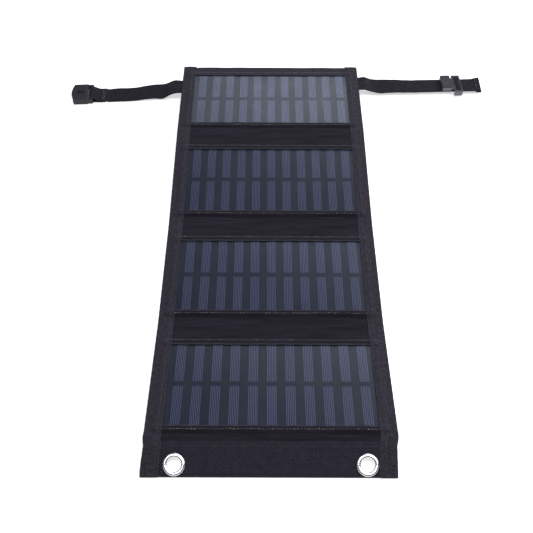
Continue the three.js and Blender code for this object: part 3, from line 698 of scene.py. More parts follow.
# The plug's side walls are painted much lighter than its top: a painted highlight for the light from the front.
GRAINED = plastic_material(
    "grained_plastic", (0.003, 0.0026, 0.0045), (0.017, 0.0155, 0.023), 0.6, 0.12, (0.5, 0.65), (0.1, 0.1, 0.125)
)
BUTTON = plastic_material("button_plastic", (0.0006, 0.0006, 0.0009), (0.0016, 0.0016, 0.002), 0.3, 0.02, (0.7, 0.8))
BOX = plastic_material("box_plastic", (0.01, 0.01, 0.012), (0.02, 0.02, 0.023), 0.3, 0.05, (0.45, 0.6))
CHROME = metal_material("bright_metal", (0.86, 0.86, 0.87), (0.74, 0.74, 0.76), (0.05, 0.14), 0.004)
COPPER = metal_material("copper_ribbon", (0.75, 0.45, 0.27), (0.55, 0.3, 0.17), (0.25, 0.4), 0.01)
BOARD = board_material()
CELL = cell_material()
FILM = film_material()
CIRCUIT = circuit_material()

# ---- front cloth between the windows --------------------------------------------------------
NOSE_STEPS = 6


def strip_top_count(far, nose):
    return max(8, int(abs(nose - far) / 0.8))


def strip_section(x, far, nose, far_round):
    """Closed (s, w) section of a cross strip at x: top to the folded edge, then back beneath."""
    towards = 1 if nose > far else -1
    wobble = 0.16 * math.sin(0.37 * x + 1.3 * nose) + 0.1 * math.sin(1.1 * x + nose)
    tip = nose + towards * wobble
    run = abs(tip - far) - HEM_PLY / 2
    s = far + towards * np.linspace(0, run, strip_top_count(far, nose))
    top = front_top(np.full_like(s, x), s)
    thick = PLY + (HEM_PLY - PLY) * smooth((9 - np.abs(tip - s)) / 2)
    under = top - thick
    mid = (top[-1] + under[-1]) / 2
    half = (top[-1] - under[-1]) / 2
    turn = np.linspace(math.pi / 2, -math.pi / 2, NOSE_STEPS + 2)[1:-1]
    nose_s = s[-1] + towards * half * np.cos(turn)
    nose_w = mid + half * np.sin(turn)
    loop_s = np.concatenate([s, nose_s, s[::-1]])
    loop_w = np.concatenate([top, nose_w, under[::-1]])
    if far_round:
        top_mid = (top[0] + under[0]) / 2
        back = np.linspace(-math.pi / 2, math.pi / 2, 5)[1:-1]
        loop_s = np.concatenate([loop_s, far - towards * PLY * 0.5 * np.cos(back)])
        loop_w = np.concatenate([loop_w, top_mid + (top[0] - top_mid) * np.sin(back)])
    return loop_s, loop_w


def cross_strip(name, far, nose, seams, far_round=False, cloth=STRIP_CLOTH):
    x = np.concatenate([np.arange(-STRIP_HALF, STRIP_HALF, 1.3), [STRIP_HALF]])
    run = abs(nose - far)
    sections = []
    top_count = strip_top_count(far, nose)
    for value in x:
        loop_s, loop_w = strip_section(value, far, nose, far_round)
        count = len(loop_s)
        sections.append((np.full(count, value), loop_s, loop_w))
    xs, ss, ws = (np.array(part) for part in zip(*sections))
    points = put(xs, ss, ws)
    parts = Parts()
    # The faces round the folded edge take slot 3, the painted highlight.
    parts.add(*loft(points, x), slot=edged(len(x), count, range(top_count - 2, top_count + 2), 3))
    for line, kind in seams:
        jitter = 0.12 if kind else 0.05
        parts.add(*seam_across(line, -STRIP_HALF + 2, STRIP_HALF - 2, lambda a, b: front_top(a, b) + 0.04,
                               jitter=jitter), slot=1 if kind else 2)
    made = mm_mesh(name, parts, [cloth, THREAD, DARK_THREAD, STRIP_FOLD_HIGHLIGHT])
    return made, run


def bend(piece, fold):
    """Bakes the piece's transform into its mesh; the places 4 mm each side of the fold line are worked out but not
    used.
    """
    i = FOLDS.index(fold)
    s = CUM[i + 1]
    at(0, s - HALF_CREASE, 0)
    at(0, s + HALF_CREASE, 0)
    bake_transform(piece)


TOP_HEM_LINE = 2.6
for i, (start, end) in enumerate(WINDOWS):
    number = i + 1
    label = f"{number}_{number + 1}" if number < 4 else "4_flap"
    far = 0.0 if i == 0 else MID_CREASE[i - 1]
    seams = [(start - STITCH_BEFORE, True)] + ([(TOP_HEM_LINE, False)] if i == 0 else [])
    # The top hem takes the lighter cloth, painted light.
    cloth = STRIP_CLOTH if i else HEM_CLOTH_PAINTED_LIGHT
    upper, run = cross_strip(f"front_cloth_above_{number}", far, start, seams, far_round=i == 0, cloth=cloth)
    if i == 0:
        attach(upper, "panel_1")
    else:
        before = f"{number - 1}_{number}"
        bend(upper, f"fold_{before}_second")
    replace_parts(upper, f"upper_strip_{number}")
    lower, run = cross_strip(f"front_cloth_below_{number}", MID_CREASE[i], end, [(end + STITCH_AFTER, True)])
    bend(lower, f"fold_{label}")
    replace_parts(lower, f"lower_strip_{number}", f"crease_cloth_{label}")

# ---- back cloth -----------------------------------------------------------------------------
BACK_HALF = 93.1
BACK_STEP = (86.3, 85.2)


def back_section(s, half, over=None):
    """Closed (x, w) section of the back cloth; its edges step up on to the tape's back leg."""
    inner = np.linspace(-84, 84, 57)
    edge = np.array([84.8, 85.3, 85.8, 86.3, 88, 90, 92, half])
    x = np.concatenate([-edge[::-1], inner, edge])
    step = smooth((np.abs(x) - BACK_STEP[1]) / (BACK_STEP[0] - BACK_STEP[1]))
    quilt = 0.09 * (1 + ruffle(x + 40, s)) * (1 - step)
    seams = 0.1 * dimples(s, STRIP_LINES, 0.9) * (1 - step)
    bottom = GROUND + 0.54 * step + quilt + seams
    top = GROUND + PLY + 0.54 * step + quilt + seams
    if over is not None:
        top = over(x, np.full_like(x, s))
    return np.concatenate([x, x[::-1]]), np.concatenate([bottom, top[::-1]])


def back_bottom(x, s):
    return GROUND + 0.09 * (1 + ruffle(x + 40, s)) + 0.1 * dimples(s, STRIP_LINES, 0.9)


def back_piece(name, s0, s1):
    stations = np.linspace(s0, s1, max(4, int((s1 - s0) / 1.4)))
    loops = [back_section(s, BACK_HALF) for s in stations]
    points = put([x for x, _ in loops], np.repeat(stations[:, None], len(loops[0][0]), 1), [w for _, w in loops])
    parts = Parts()
    parts.add(*loft(points, stations))
    for line in STRIP_LINES + [TOP_HEM_LINE]:
        if s0 < line < s1:
            parts.add(*seam_across(line, -82, 82, lambda a, b: back_bottom(a, b) - 0.02, below=True), slot=1)
    made = mm_mesh(name, parts, [BACK_CLOTH, DARK_THREAD])
    return made


for i in range(4):
    number = i + 1
    label = f"{number}_{number + 1}" if number < 4 else "4_flap"
    a, b = PANEL_S[i]
    half_way = (a + b) / 2
    if i == 0:
        whole = back_piece("back_cloth_panel_1", a + 0.3, MID_CREASE[0])
        bend(whole, "fold_1_2")
        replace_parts(whole, "back_cloth_1")
        continue
    before = f"{number - 1}_{number}"
    upper = back_piece(f"back_cloth_panel_{number}_upper", MID_CREASE[i - 1], half_way)
    bend(upper, f"fold_{before}_second")
    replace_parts(upper, f"back_cloth_{number}")
    lower = back_piece(f"back_cloth_panel_{number}_lower", half_way, MID_CREASE[i])
    bend(lower, f"fold_{label}")
    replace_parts(lower, f"back_cloth_{number}")

# ---- side bindings --------------------------------------------------------------------------
TAPE_STITCH = {-1: 2.6, 1: 4.9}  # front stitch line from the tape's inner edge
BACK_STITCH_X = 5.9  # back stitch line from the outer edge


def tape_centre(side, s):
    """Middle line of the tape's section at s, from its front edge round to its back edge, as x from the middle."""
    outer = float(tape_edge(side, s))
    front_x = np.linspace(outer - TAPE_LEG, outer - 1.0, 26)
    place = np.full_like(front_x, s)
    line = outer - TAPE_LEG + TAPE_STITCH[side]
    height = tape_under(front_x + (PANEL_HALF - outer), place) + tape_pucker(front_x + (PANEL_HALF - outer), place, side)
    height = height - 0.26 * np.exp(-(((front_x - line) / 0.75) ** 2)) * (0.8 + 0.2 * math.cos(6.2832 * s / STITCH_PITCH))
    height = np.maximum(height, TAPE_LOW) + TAPE_T / 2
    low = GROUND + TAPE_T / 2
    high = height[-1]
    centre_w, radius = (high + low) / 2, (high - low) / 2
    turn = np.linspace(math.pi / 2, -math.pi / 2, 11)[1:-1]
    round_x = outer - 1.0 + (0.75 + 0.06 * math.sin(0.9 * s)) * np.cos(turn)
    round_w = centre_w + radius * np.sin(turn)
    back_x = np.linspace(outer - 1.0, outer - 8.6, 12)
    back_w = np.full_like(back_x, low) + 0.12 * np.exp(-(((back_x - outer + BACK_STITCH_X) / 0.8) ** 2))
    return np.concatenate([front_x, round_x, back_x]), np.concatenate([height, round_w, back_w])


def tape_section(side, s):
    x, w = tape_centre(side, s)
    dx, dw = np.gradient(x), np.gradient(w)
    length = np.hypot(dx, dw)
    nx, nw = -dw / length, dx / length
    half = TAPE_T / 2
    ahead_x, ahead_w = dx / length * half * 0.7, dw / length * half * 0.7
    loop_x = np.concatenate([[x[0] - ahead_x[0]], x + nx * half, [x[-1] + ahead_x[-1]], (x - nx * half)[::-1]])
    loop_w = np.concatenate([[w[0] - ahead_w[0]], w + nw * half, [w[-1] + ahead_w[-1]], (w - nw * half)[::-1]])
    return side * loop_x, loop_w


def tape_top(side):
    def height(x, s):
        values = []
        for xi, si in zip(np.abs(x), s):
            cx, cw = tape_centre(side, si)
            values.append(np.interp(xi, cx[:26], cw[:26]) + TAPE_T / 2 + 0.03)
        return np.array(values)

    return height


def tape_piece(name, side, s0, s1):
    stations = np.linspace(s0, s1, max(5, int((s1 - s0) / 0.9)))
    loops = [tape_section(side, s) for s in stations]
    points = put([x for x, _ in loops], np.repeat(stations[:, None], len(loops[0][0]), 1), [w for _, w in loops])
    parts = Parts()
    count = len(loops[0][0])
    # The faces along the tape's inner edge take slot 2, the painted highlight.
    parts.add(*loft(points, stations), slot=edged(len(stations), count, (0, 1, count - 1), 2))

    def front_line(s):
        return side * (tape_edge(side, s) - TAPE_LEG + TAPE_STITCH[side])

    def back_line(s):
        return side * (tape_edge(side, s) - BACK_STITCH_X)

    parts.add(*seam_along(front_line, s0, s1, tape_top(side), jitter=0.1), slot=1)
    parts.add(*seam_along(back_line, s0, s1, lambda x, s: np.full_like(s, GROUND + 0.14), below=True), slot=1)
    made = mm_mesh(name, parts, [TAPE_CLOTH, DARK_THREAD, TAPE_EDGE_HIGHLIGHT])
    return made


TAPE_OVERRUN = 0.7
for side, word in ((-1, "left"), (1, "right")):
    for i in range(4):
        number = i + 1
        label = f"{number}_{number + 1}" if number < 4 else "4_flap"
        a, b = PANEL_S[i]
        half_way = (a + b) / 2
        if i == 0:
            whole = tape_piece(f"tape_{word}_1", side, -TAPE_OVERRUN, MID_CREASE[0])
            bend(whole, "fold_1_2")
            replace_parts(whole, f"binding_{word}_1")
            continue
        before = f"{number - 1}_{number}"
        upper = tape_piece(f"tape_{word}_{number}_upper", side, MID_CREASE[i - 1], half_way)
        bend(upper, f"fold_{before}_second")
        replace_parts(upper, f"binding_{word}_{number}")
        lower = tape_piece(f"tape_{word}_{number}_lower", side, half_way, MID_CREASE[i])
        bend(lower, f"fold_{label}")
        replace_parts(lower, f"binding_{word}_{number}")
    last = tape_piece(f"tape_{word}_flap", side, MID_CREASE[3], END_S + 0.2)
    bend(last, "fold_4_flap_second")
    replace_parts(last, f"flap_binding_{word}")

# ---- flap -----------------------------------------------------------------------------------
EYELET_X = 71.0
EYELET_S = MID_CREASE[3] + 16.9
EYELET_R = 8.3
HOLE_R = 5.2
FLAP_CLOTH_HOLE = 5.95


def flap_top(x, s):
    """Top of the flap: two plies pressed flat round the eyelets, with a turned hem at its free edge."""
    height = CLOTH_LOW + 0.12 + 0.1 * ruffle(1.6 * x, 1.4 * s)
    for side in (-1, 1):
        r = np.hypot(x - side * EYELET_X, s - EYELET_S)
        height = height - 0.12 * np.exp(-(((r - EYELET_R) / 1.6) ** 2))
        height = height + 0.1 * np.exp(-(((r - 12.5) / 2.2) ** 2)) * (1 + 0.5 * np.sin(5 * np.arctan2(s - EYELET_S, x - side * EYELET_X)))
    hem = smooth((s - (END_S - 1.5)) / 0.5)
    height = height + 0.16 * hem - 0.2 * np.exp(-(((s - (END_S - 1.9)) / 0.5) ** 2))
    return height - 0.35 * smooth((np.abs(x) - 79) / 3)


def flap_cloth():
    stations = np.concatenate([np.linspace(MID_CREASE[3], END_S - 2.6, 34), np.linspace(END_S - 2.4, END_S - 0.45, 12)])
    loops, half = [], FLAP_HALF - 1.65
    for s in stations:
        loops.append(back_section(s, half, over=flap_top))
    ends = []
    x, w = loops[-1]
    count = len(x) // 2
    bottom, top = w[:count], w[count:][::-1]
    middle = (bottom + top) / 2
    for turn in (0.45, 0.85, 1.2):
        pinch = math.cos(turn)
        ends.append((x, np.concatenate([middle + (bottom - middle) * pinch, (middle + (top - middle) * pinch)[::-1]])))
    reach = [END_S - 0.45 + 0.5 * math.sin(t) for t in (0.45, 0.85, 1.2)]
    every_s = np.concatenate([stations, reach])
    loops += ends
    points = put([x for x, _ in loops], np.repeat(every_s[:, None], len(x), 1), [w for _, w in loops])
    parts = Parts()
    count, rows = len(x), len(every_s)
    # The top faces of the last rows and the far end take slot 1, the painted highlight.
    slots = [1 if k >= rows - 4 and p >= count // 2 else 0 for k in range(rows - 1) for p in range(count)]
    parts.add(*loft(points, every_s), slot=slots + [0, 1])
    return mm_mesh("flap_cloth_sheet", parts, [FLAP_CLOTH, FLAP_HEM_HIGHLIGHT])


def frame_at(x, s, w):
    """Centre, across, ahead and up of a place on the panels."""
    centre = put(x, s, w)
    up = put(x, s, w + 1) - centre
    return centre, np.array([1.0, 0, 0]), np.cross(up, [1.0, 0, 0]), up


def applied(piece):
    """Bakes the piece's modifiers into its mesh."""
    graph = bpy.context.evaluated_depsgraph_get()
    done = bpy.data.meshes.new_from_object(piece.evaluated_get(graph))
    piece.modifiers.clear()
    piece.data = done
    return piece


flap = flap_cloth()
for side in (-1, 1):
    tool_parts = Parts()
    centre, across, ahead, up = frame_at(side * EYELET_X, EYELET_S, 0)
    turn = np.linspace(0, 2 * math.pi, 48, endpoint=False)
    ring = FLAP_CLOTH_HOLE * (np.cos(turn)[:, None] * across + np.sin(turn)[:, None] * ahead)
    both = np.stack([centre + ring - 4 * up, centre + ring + 4 * up])
    tool_parts.add(*loft(both, [0.0, 8.0]))
    tool = mm_mesh(f"hole_tool_{side}", tool_parts, [FLAP_CLOTH])
    punch = flap.modifiers.new("eyelet_hole", "BOOLEAN")
    punch.operation = "DIFFERENCE"
    punch.solver = "EXACT"
    punch.object = tool
    bpy.context.view_layer.update()
    applied(flap)
    bpy.data.objects.remove(tool)
bend(flap, "fold_4_flap_second")
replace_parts(flap, "flap_cloth")


def eyelet_profile(seat, foot):
    """Closed (r, w) section: rolled flange, funnel and barrel, with a curled foot."""
    outer = []
    span = EYELET_R - HOLE_R
    for turn in np.linspace(0, math.pi, 17):
        r = HOLE_R + span / 2 * (1 + math.cos(turn))
        outer.append((r, seat + 0.22 + 1.12 * math.sin(turn) ** 0.8))
    inner = [(HOLE_R, seat - 0.3), (HOLE_R, foot + 0.5), (HOLE_R + 0.1, foot + 0.15), (HOLE_R + 0.45, foot), (HOLE_R + 0.8, foot + 0.2)]
    back = [(HOLE_R + 0.62, foot + 0.6), (HOLE_R + 0.6, seat - 0.1), (EYELET_R - 0.4, seat), (EYELET_R, seat + 0.06)]
    return outer + inner + back


for side, word in ((-1, "left"), (1, "right")):
    axes = frame_at(side * EYELET_X, EYELET_S, 0)
    seat, foot = CLOTH_LOW + 0.2, GROUND - 0.85
    front = Parts().add(*lathe(eyelet_profile(seat, foot), 96, *axes))
    piece = mm_mesh(f"eyelet_flange_{word}", front, [CHROME], sharp=50)
    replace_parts(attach(piece, "flap"), f"eyelet_{word}")
    low = GROUND - 0.62
    ring = [(6.1, low), (6.4, low - 0.05), (7.2, low + 0.02), (7.8, low + 0.12), (8.0, low + 0.3), (7.9, low + 0.48),
            (6.6, low + 0.5), (6.02, low + 0.45)]
    washer = mm_mesh(f"eyelet_back_ring_{word}", Parts().add(*lathe(ring, 96, *axes)), [CHROME], sharp=50)
    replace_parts(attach(washer, "flap"), f"eyelet_washer_{word}")

FLAP_ROW_S = MID_CREASE[3] + 3.6
row = Parts().add(*seam_across(FLAP_ROW_S, -STRIP_HALF + 4, STRIP_HALF - 4, lambda x, s: flap_top(x, s) + 0.04))
piece = mm_mesh("flap_stitch_row", row, [BLACK_THREAD])
bend(piece, "fold_4_flap_second")

# ---- modules --------------------------------------------------------------------------------
CELL_PITCH = 14.6
CELL_W = 7.9
CELL_FIRST = -WINDOW_HALF + 5.3
ROW_GAP = 4.0
FINGERS = 6


def thin_block(parts, x0, x1, s0, s1, w0, w1, slot=0):
    """A flat strip on a module, from corner to corner."""
    corner = [(x0, s0), (x1, s0), (x1, s1), (x0, s1)]
    low = [put(x, s, w0) for x, s in corner]
    high = [put(x, s, w1) for x, s in corner]
    faces = [(3, 2, 1, 0), (4, 5, 6, 7), (0, 1, 5, 4), (1, 2, 6, 5), (2, 3, 7, 6), (3, 0, 4, 7)]
    parts.add(np.array(low + high), faces, slot=slot)


def finger_material():
    g = Graph("cell_fingers")
    wear = g.noise(g.place(), 1.8, 2.0)
    return g.finish(
        Base_Color=g.mix(wear, (0.17, 0.18, 0.3), (0.28, 0.29, 0.43)),
        Metallic=0.4,
        Roughness=g.ramp(wear, 0.3, 0.7, 0.3, 0.5),
        Normal=g.bump(wear, 0.01),
    )


def dash_material():
    g = Graph("cell_bridges")
    wear = g.noise(g.place(), 1.2, 2.0)
    return g.finish(
        Base_Color=g.mix(wear, (0.004, 0.004, 0.007), (0.01, 0.01, 0.016)),
        Roughness=g.ramp(wear, 0.3, 0.7, 0.4, 0.6),
        Normal=g.bump(wear, 0.02),
    )


FINGER = finger_material()
DASH = dash_material()
for i, (start, end) in enumerate(WINDOWS):
    number = i + 1
    middle = (start + end) / 2
    parts = Parts()
    for column in range(11):
        x0 = CELL_FIRST + column * CELL_PITCH
        for k in range(FINGERS):
            x = x0 + (k + 0.5) * CELL_W / FINGERS
            for s0, s1 in ((start - 0.4, middle - ROW_GAP / 2 - 0.5), (middle + ROW_GAP / 2 + 0.5, end + 0.4)):
                thin_block(parts, x - 0.19, x + 0.19, s0, s1, CELL_TOP + 0.004, CELL_TOP + 0.02)
        thin_block(parts, x0 - 0.5, x0 + CELL_W - 0.9, middle - 0.9, middle + 0.9, CELL_TOP + 0.004, CELL_TOP + 0.035, slot=1)
    piece = mm_mesh(f"cell_fingers_{number}", parts, [FINGER, DASH])
    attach(piece, f"panel_{number}")

# ---- straps ---------------------------------------------------------------------------------
WEB_HALF = 10.3
WEB_T = 1.36


class StrapLine:
    """Where a strap runs: a is the distance from the bend beside the panel, along the webbing."""

    def __init__(self, word, out, sag, roll):
        first = np.array(joints[f"strap_{word}_bend"]["pos_m"]) / MM
        second = np.array(joints[f"strap_{word}_second_bend"]["pos_m"]) / MM
        self.knee = np.linalg.norm(second - first)
        side_run = (second - first) / self.knee
        end_run = np.array([side_run[0], side_run[1], 0.0])
        end_run /= np.linalg.norm(end_run)
        self.bends = [(first, np.array([out, 0.0, 0.0]), side_run, 0.0), (second, side_run, end_run, self.knee)]
        self.across = [np.array([0.0, out, 0.0]), np.cross([0, 0, 1.0], end_run)]
        self.out, self.sag, self.roll = out, sag, roll

    def plain(self, a):
        """Points of the hinged line, without the webbing's own sag."""
        a = np.atleast_1d(np.asarray(a, float))
        (first, r0, r1, _), (second, _, r2, knee) = self.bends
        point = np.where((a < 0)[:, None], first + a[:, None] * r0, first + a[:, None] * r1)
        point = np.where((a > knee)[:, None], second + (a - knee)[:, None] * r2, point)
        for origin, before, after, where in self.bends:
            near = np.abs(a - where) < 5
            u = (a - where + 5) / 10
            start, end = origin - 5 * before, origin + 5 * after
            soft = ((1 - u) ** 2)[:, None] * start + (2 * u * (1 - u))[:, None] * origin + (u**2)[:, None] * end
            point = np.where(near[:, None], soft, point)
        return point

    def frame(self, a):
        """Point, across and up at distances a."""
        a = np.atleast_1d(np.asarray(a, float))
        lift = np.interp(a, *np.array(self.sag).T)[:, None] * np.array([0, 0, 1.0])
        share = smooth((a + 5) / 10)[:, None]
        across = self.across[0] * (1 - share) + self.across[1] * share
        across /= np.linalg.norm(across, axis=1, keepdims=True)
        run = self.plain(a + 0.5) - self.plain(a - 0.5)
        run /= np.linalg.norm(run, axis=1, keepdims=True)
        up = np.cross(run, across)
        tip = np.radians(self.out * np.interp(a, *np.array(self.roll).T))[:, None]
        return self.plain(a) + lift, across * np.cos(tip) + up * np.sin(tip), up * np.cos(tip) - across * np.sin(tip)

    def spot(self, a, t, h):
        point, across, up = self.frame(a)
        return point + across * np.asarray(t, float).reshape(-1, 1) + up * np.asarray(h, float).reshape(-1, 1)


def eased(knots):
    """Knots joined by a smooth curve, as closely spaced points."""
    a, h = np.array(knots, float).T
    fine = np.arange(a[0], a[-1] + 0.5, 0.5)
    slope = np.gradient(h, a)
    k = np.clip(np.searchsorted(a, fine, side="right") - 1, 0, len(a) - 2)
    span = a[k + 1] - a[k]
    u = (fine - a[k]) / span
    curve = (
        (2 * u**3 - 3 * u**2 + 1) * h[k] + (u**3 - 2 * u**2 + u) * slope[k] * span
        + (3 * u**2 - 2 * u**3) * h[k + 1] + (u**3 - u**2) * slope[k + 1] * span
    )
    return np.stack([fine, curve], 1)


def web_section():
    """Closed (t, h) section of the webbing, with rounded selvedges."""
    half, thick = WEB_HALF, WEB_T / 2
    top_t = np.linspace(-half + 0.8, half - 0.8, 15)
    crown = thick * (1 - 0.06 * (top_t / half) ** 2)
    right = [(half - 0.35, thick * 0.93), (half - 0.06, thick * 0.55), (half, 0), (half - 0.06, -thick * 0.55),
             (half - 0.35, -thick * 0.93)]
    t = np.concatenate([top_t, [p[0] for p in right], top_t[::-1], [-p[0] for p in right[::-1]]])
    h = np.concatenate([crown, [p[1] for p in right], -crown[::-1], [p[1] for p in right[::-1]]])
    return t, h


def web_run(line, route, half=WEB_HALF):
    """Webbing swept along a route of (a, h): distance along the strap and height off its line."""
    a, h = np.array(route, float).T
    point, across, up = line.frame(a)
    centre = point + up * h[:, None]
    run = np.gradient(centre, axis=0)
    run /= np.linalg.norm(run, axis=1, keepdims=True)
    normal = np.cross(run, across)
    normal /= np.linalg.norm(normal, axis=1, keepdims=True)
    t, k = web_section()
    length = np.concatenate([[0], np.cumsum(np.linalg.norm(np.diff(centre, axis=0), axis=1))])
    fray = 0.09 * np.sin(1.9 * length) + 0.06 * np.sin(4.3 * length)
    wide = t[None, :] * (half / WEB_HALF) + np.sign(t)[None, :] * fray[:, None] * (np.abs(t) > WEB_HALF - 0.9)[None, :]
    sections = centre[:, None] + across[:, None] * wide[..., None] + normal[:, None] * k[None, :, None]
    points, faces, uvs = loft(sections, length, around=np.concatenate([t, [t[0]]]))
    swapped = [[(v, u) for u, v in corner] for corner in uvs]
    return points, faces, swapped


def sewn(line, parts, lines, height, below=False):
    """Rows of thread on the webbing between (a, t) corners; height is a function of a."""
    for (s0, t0), (s1, t1) in lines:
        a = np.linspace(s0, s1, 24)
        points = line.spot(a, np.linspace(t0, t1, 24), [height(x) for x in a])
        up = line.frame(a)[2]
        parts.add(*thread(points, -up if below else up, pitch=2.0, length=1.6, radius=0.2), slot=1)


def crossed_box(a0, a1):
    half = WEB_HALF - 1.9
    corners = [(a0, -half), (a1, -half), (a1, half), (a0, half)]
    return [(corners[i], corners[(i + 1) % 4]) for i in range(4)] + [(corners[0], corners[2]), (corners[1], corners[3])]


def strap_bend(piece, line, which):
    where = line.bends[which][3]
    start, end = line.plain([where - 5, where + 5])
    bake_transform(piece)


ANCHOR_L = 25.0
SOCKET_BAR = 96.5
LOOP_R = 2.36
SEWN_FROM = 81.5
LEFT_LOW = -3.05  # the webbing lies on the ground here, under the buckle bar's height
LEFT_SAG = [(-30, 0), (-2, 0), (3, 0.9), (7, 1.1), (10, 0.5), (13, -0.7), (16, -2.0), (20, -2.9), (24, -2.55), (29, -2.0),
            (35, -1.75), (44, -2.2), (54, -2.5), (60, -2.52), (72, -2.54), (80, LEFT_LOW), (83, LEFT_LOW),
            (86, LEFT_LOW), (150, LEFT_LOW)]
LEFT_ROLL = [(-30, 0), (1, 0), (7, 3), (12, 2), (16, 4), (21, 9), (27, 7), (40, 4), (54, 3), (72, 3), (80, 0), (84, 0), (150, 0)]
RIGHT_SAG = [(-30, 0), (-2, 0), (3, 0.9), (6, 1.1), (9, 0.3), (12, -0.8), (15, -1.4), (19, -1.8), (25, -1.6), (32, -0.9),
             (40, -0.3), (48, 0), (60, 0), (70, 0), (150, 0)]
RIGHT_ROLL = [(-30, 0), (1, 0), (7, 3), (12, 2), (16, 3), (22, 6), (30, 4), (42, 2), (56, 0), (62, 0), (122, 0), (125, 0.3),
              (129, 5), (133, 9)]
straps = {
    "left": StrapLine("left", -1.0, eased(LEFT_SAG), eased(LEFT_ROLL)),
    "right": StrapLine("right", 1.0, eased(RIGHT_SAG), eased(RIGHT_ROLL)),
}


def web_wave(a):
    return 0.1 * math.sin(0.5 * a) * float(smooth(a / 8)) * float(1 - smooth((a - 62) / 10))


for word, line in straps.items():
    root = Parts()
    half_way = line.knee / 2
    a = np.concatenate([[-ANCHOR_L, -ANCHOR_L + 0.4], np.arange(-ANCHOR_L + 1.5, half_way, 1.0), [half_way]])
    root.add(*web_run(line, [(x, web_wave(x)) for x in a]))
    sewn(line, root, crossed_box(-ANCHOR_L + 3, -5), lambda x: -WEB_T / 2 - 0.03, below=True)
    piece = mm_mesh(f"webbing_{word}_root", root, [WEBBING, THREAD])
    strap_bend(piece, line, 0)
    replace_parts(piece, f"strap_anchor_{word}", f"strap_{word}_side")

# The left webbing lies flat, climbs over its own sewn-back end and turns round the buckle's bar.
PLY_STEP = 1.46
BAR_UP = -LEFT_LOW
UPPER_LEAVES, LOWER_LEAVES = 88.0, 87.0


def left_route(line):
    half_way = line.knee / 2
    route = [(x, web_wave(x)) for x in np.arange(half_way, 77.5, 1.0)]
    route += [(x, PLY_STEP * float(smooth((x - 77.5) / 5))) for x in np.arange(77.5, UPPER_LEAVES + 0.01, 0.7)]
    rise, back = BAR_UP - PLY_STEP, SOCKET_BAR - UPPER_LEAVES
    tilt = math.atan2(rise, back) + math.asin(LOOP_R / math.hypot(rise, back))
    first = math.pi / 2 + tilt
    dip, under = BAR_UP, SOCKET_BAR - LOWER_LEAVES
    last = -(math.pi / 2 + math.asin(LOOP_R / math.hypot(dip, under)) - math.atan2(dip, under))
    arc = [
        (SOCKET_BAR + LOOP_R * math.cos(turn), BAR_UP + LOOP_R * math.sin(turn))
        for turn in np.linspace(first, last, 24)
    ]
    start, end = np.array(route[-1]), np.array(arc[0])
    route += [tuple(start + (end - start) * k) for k in np.linspace(0.12, 0.9, 8)] + arc
    start, end = np.array(arc[-1]), np.array([LOWER_LEAVES, 0.0])
    route += [tuple(start + (end - start) * k) for k in np.linspace(0.12, 1, 9)]
    return route + [(x, 0.0) for x in np.arange(LOWER_LEAVES - 0.8, SEWN_FROM, -0.8)] + [(SEWN_FROM, 0.0)]


line = straps["left"]
route = left_route(line)
upper_run = np.array([p for p in route if p[1] > PLY_STEP - 0.02 and p[0] < SOCKET_BAR - 1])
end_left = Parts()
end_left.add(*web_run(line, route))
rows_across = [((a, -WEB_HALF + 1.2), (a + 0.6, WEB_HALF - 1.2)) for a in (82.6, 84.4)]
sewn(line, end_left, rows_across, lambda x: float(np.interp(x, *upper_run.T)) + WEB_T / 2 + 0.03)
sewn(line, end_left, crossed_box(82.6, 88.6), lambda x: -WEB_T / 2 - 0.02, below=True)
piece = mm_mesh("webbing_left_end", end_left, [WEBBING, THREAD])
strap_bend(piece, line, 1)
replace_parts(piece, "strap_left_end")

TAIL = 132.0
HEM = 6.0


def right_route(line):
    half_way = line.knee / 2
    a = np.arange(half_way, TAIL - 1.2, 1.0)
    lift = 0.72
    route = [(x, web_wave(x) + lift * float(smooth((x - 124.4) / 5))) for x in a]
    for turn in np.linspace(math.radians(80), math.radians(-90), 9):
        route.append((TAIL - 0.75 + 0.72 * math.cos(turn), lift - 0.72 + 0.72 * math.sin(turn)))
    return route + [(x, lift - 1.44 - 0.05 * (TAIL - x)) for x in np.arange(TAIL - 1.6, TAIL - HEM - 0.6, -1.0)]


line = straps["right"]
end_right = Parts()
end_right.add(*web_run(line, right_route(line)))
sewn(line, end_right, [((TAIL - 4.4, -8.6), (TAIL - 4.4, 8.6))], lambda x: 0.72 + WEB_T / 2 + 0.02)
piece = mm_mesh("webbing_right_end", end_right, [WEBBING, THREAD])
strap_bend(piece, line, 1)
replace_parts(piece, "strap_right_end")

# Where the right webbing humps up between the bars of the adjusting frame.
FRAME_FROM, FRAME_TO = 104.5, 109.1
hump = [(x, 0.98 + 1.25 * math.sin(math.pi * (x - FRAME_FROM) / (FRAME_TO - FRAME_FROM)) ** 0.8)
        for x in np.linspace(FRAME_FROM + 0.02, FRAME_TO - 0.02, 15)]
crest = mm_mesh("webbing_crest", Parts().add(*web_run(line, hump, half=9.9)), [WEBBING])
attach(crest, "buckle_plug")

# ---- fittings of the regulator box ------------------------------------------------------------
def brick(parts, low, high, slot=0):
    """A box between two corners, in millimetres of the row frame."""
    (x0, y0, z0), (x1, y1, z1) = low, high
    corners = [(x, y, z) for z in (z0, z1) for x, y in ((x0, y0), (x1, y0), (x1, y1), (x0, y1))]
    faces = [(3, 2, 1, 0), (4, 5, 6, 7), (0, 1, 5, 4), (1, 2, 6, 5), (2, 3, 7, 6), (3, 0, 4, 7)]
    parts.add(corners, faces, slot=slot)


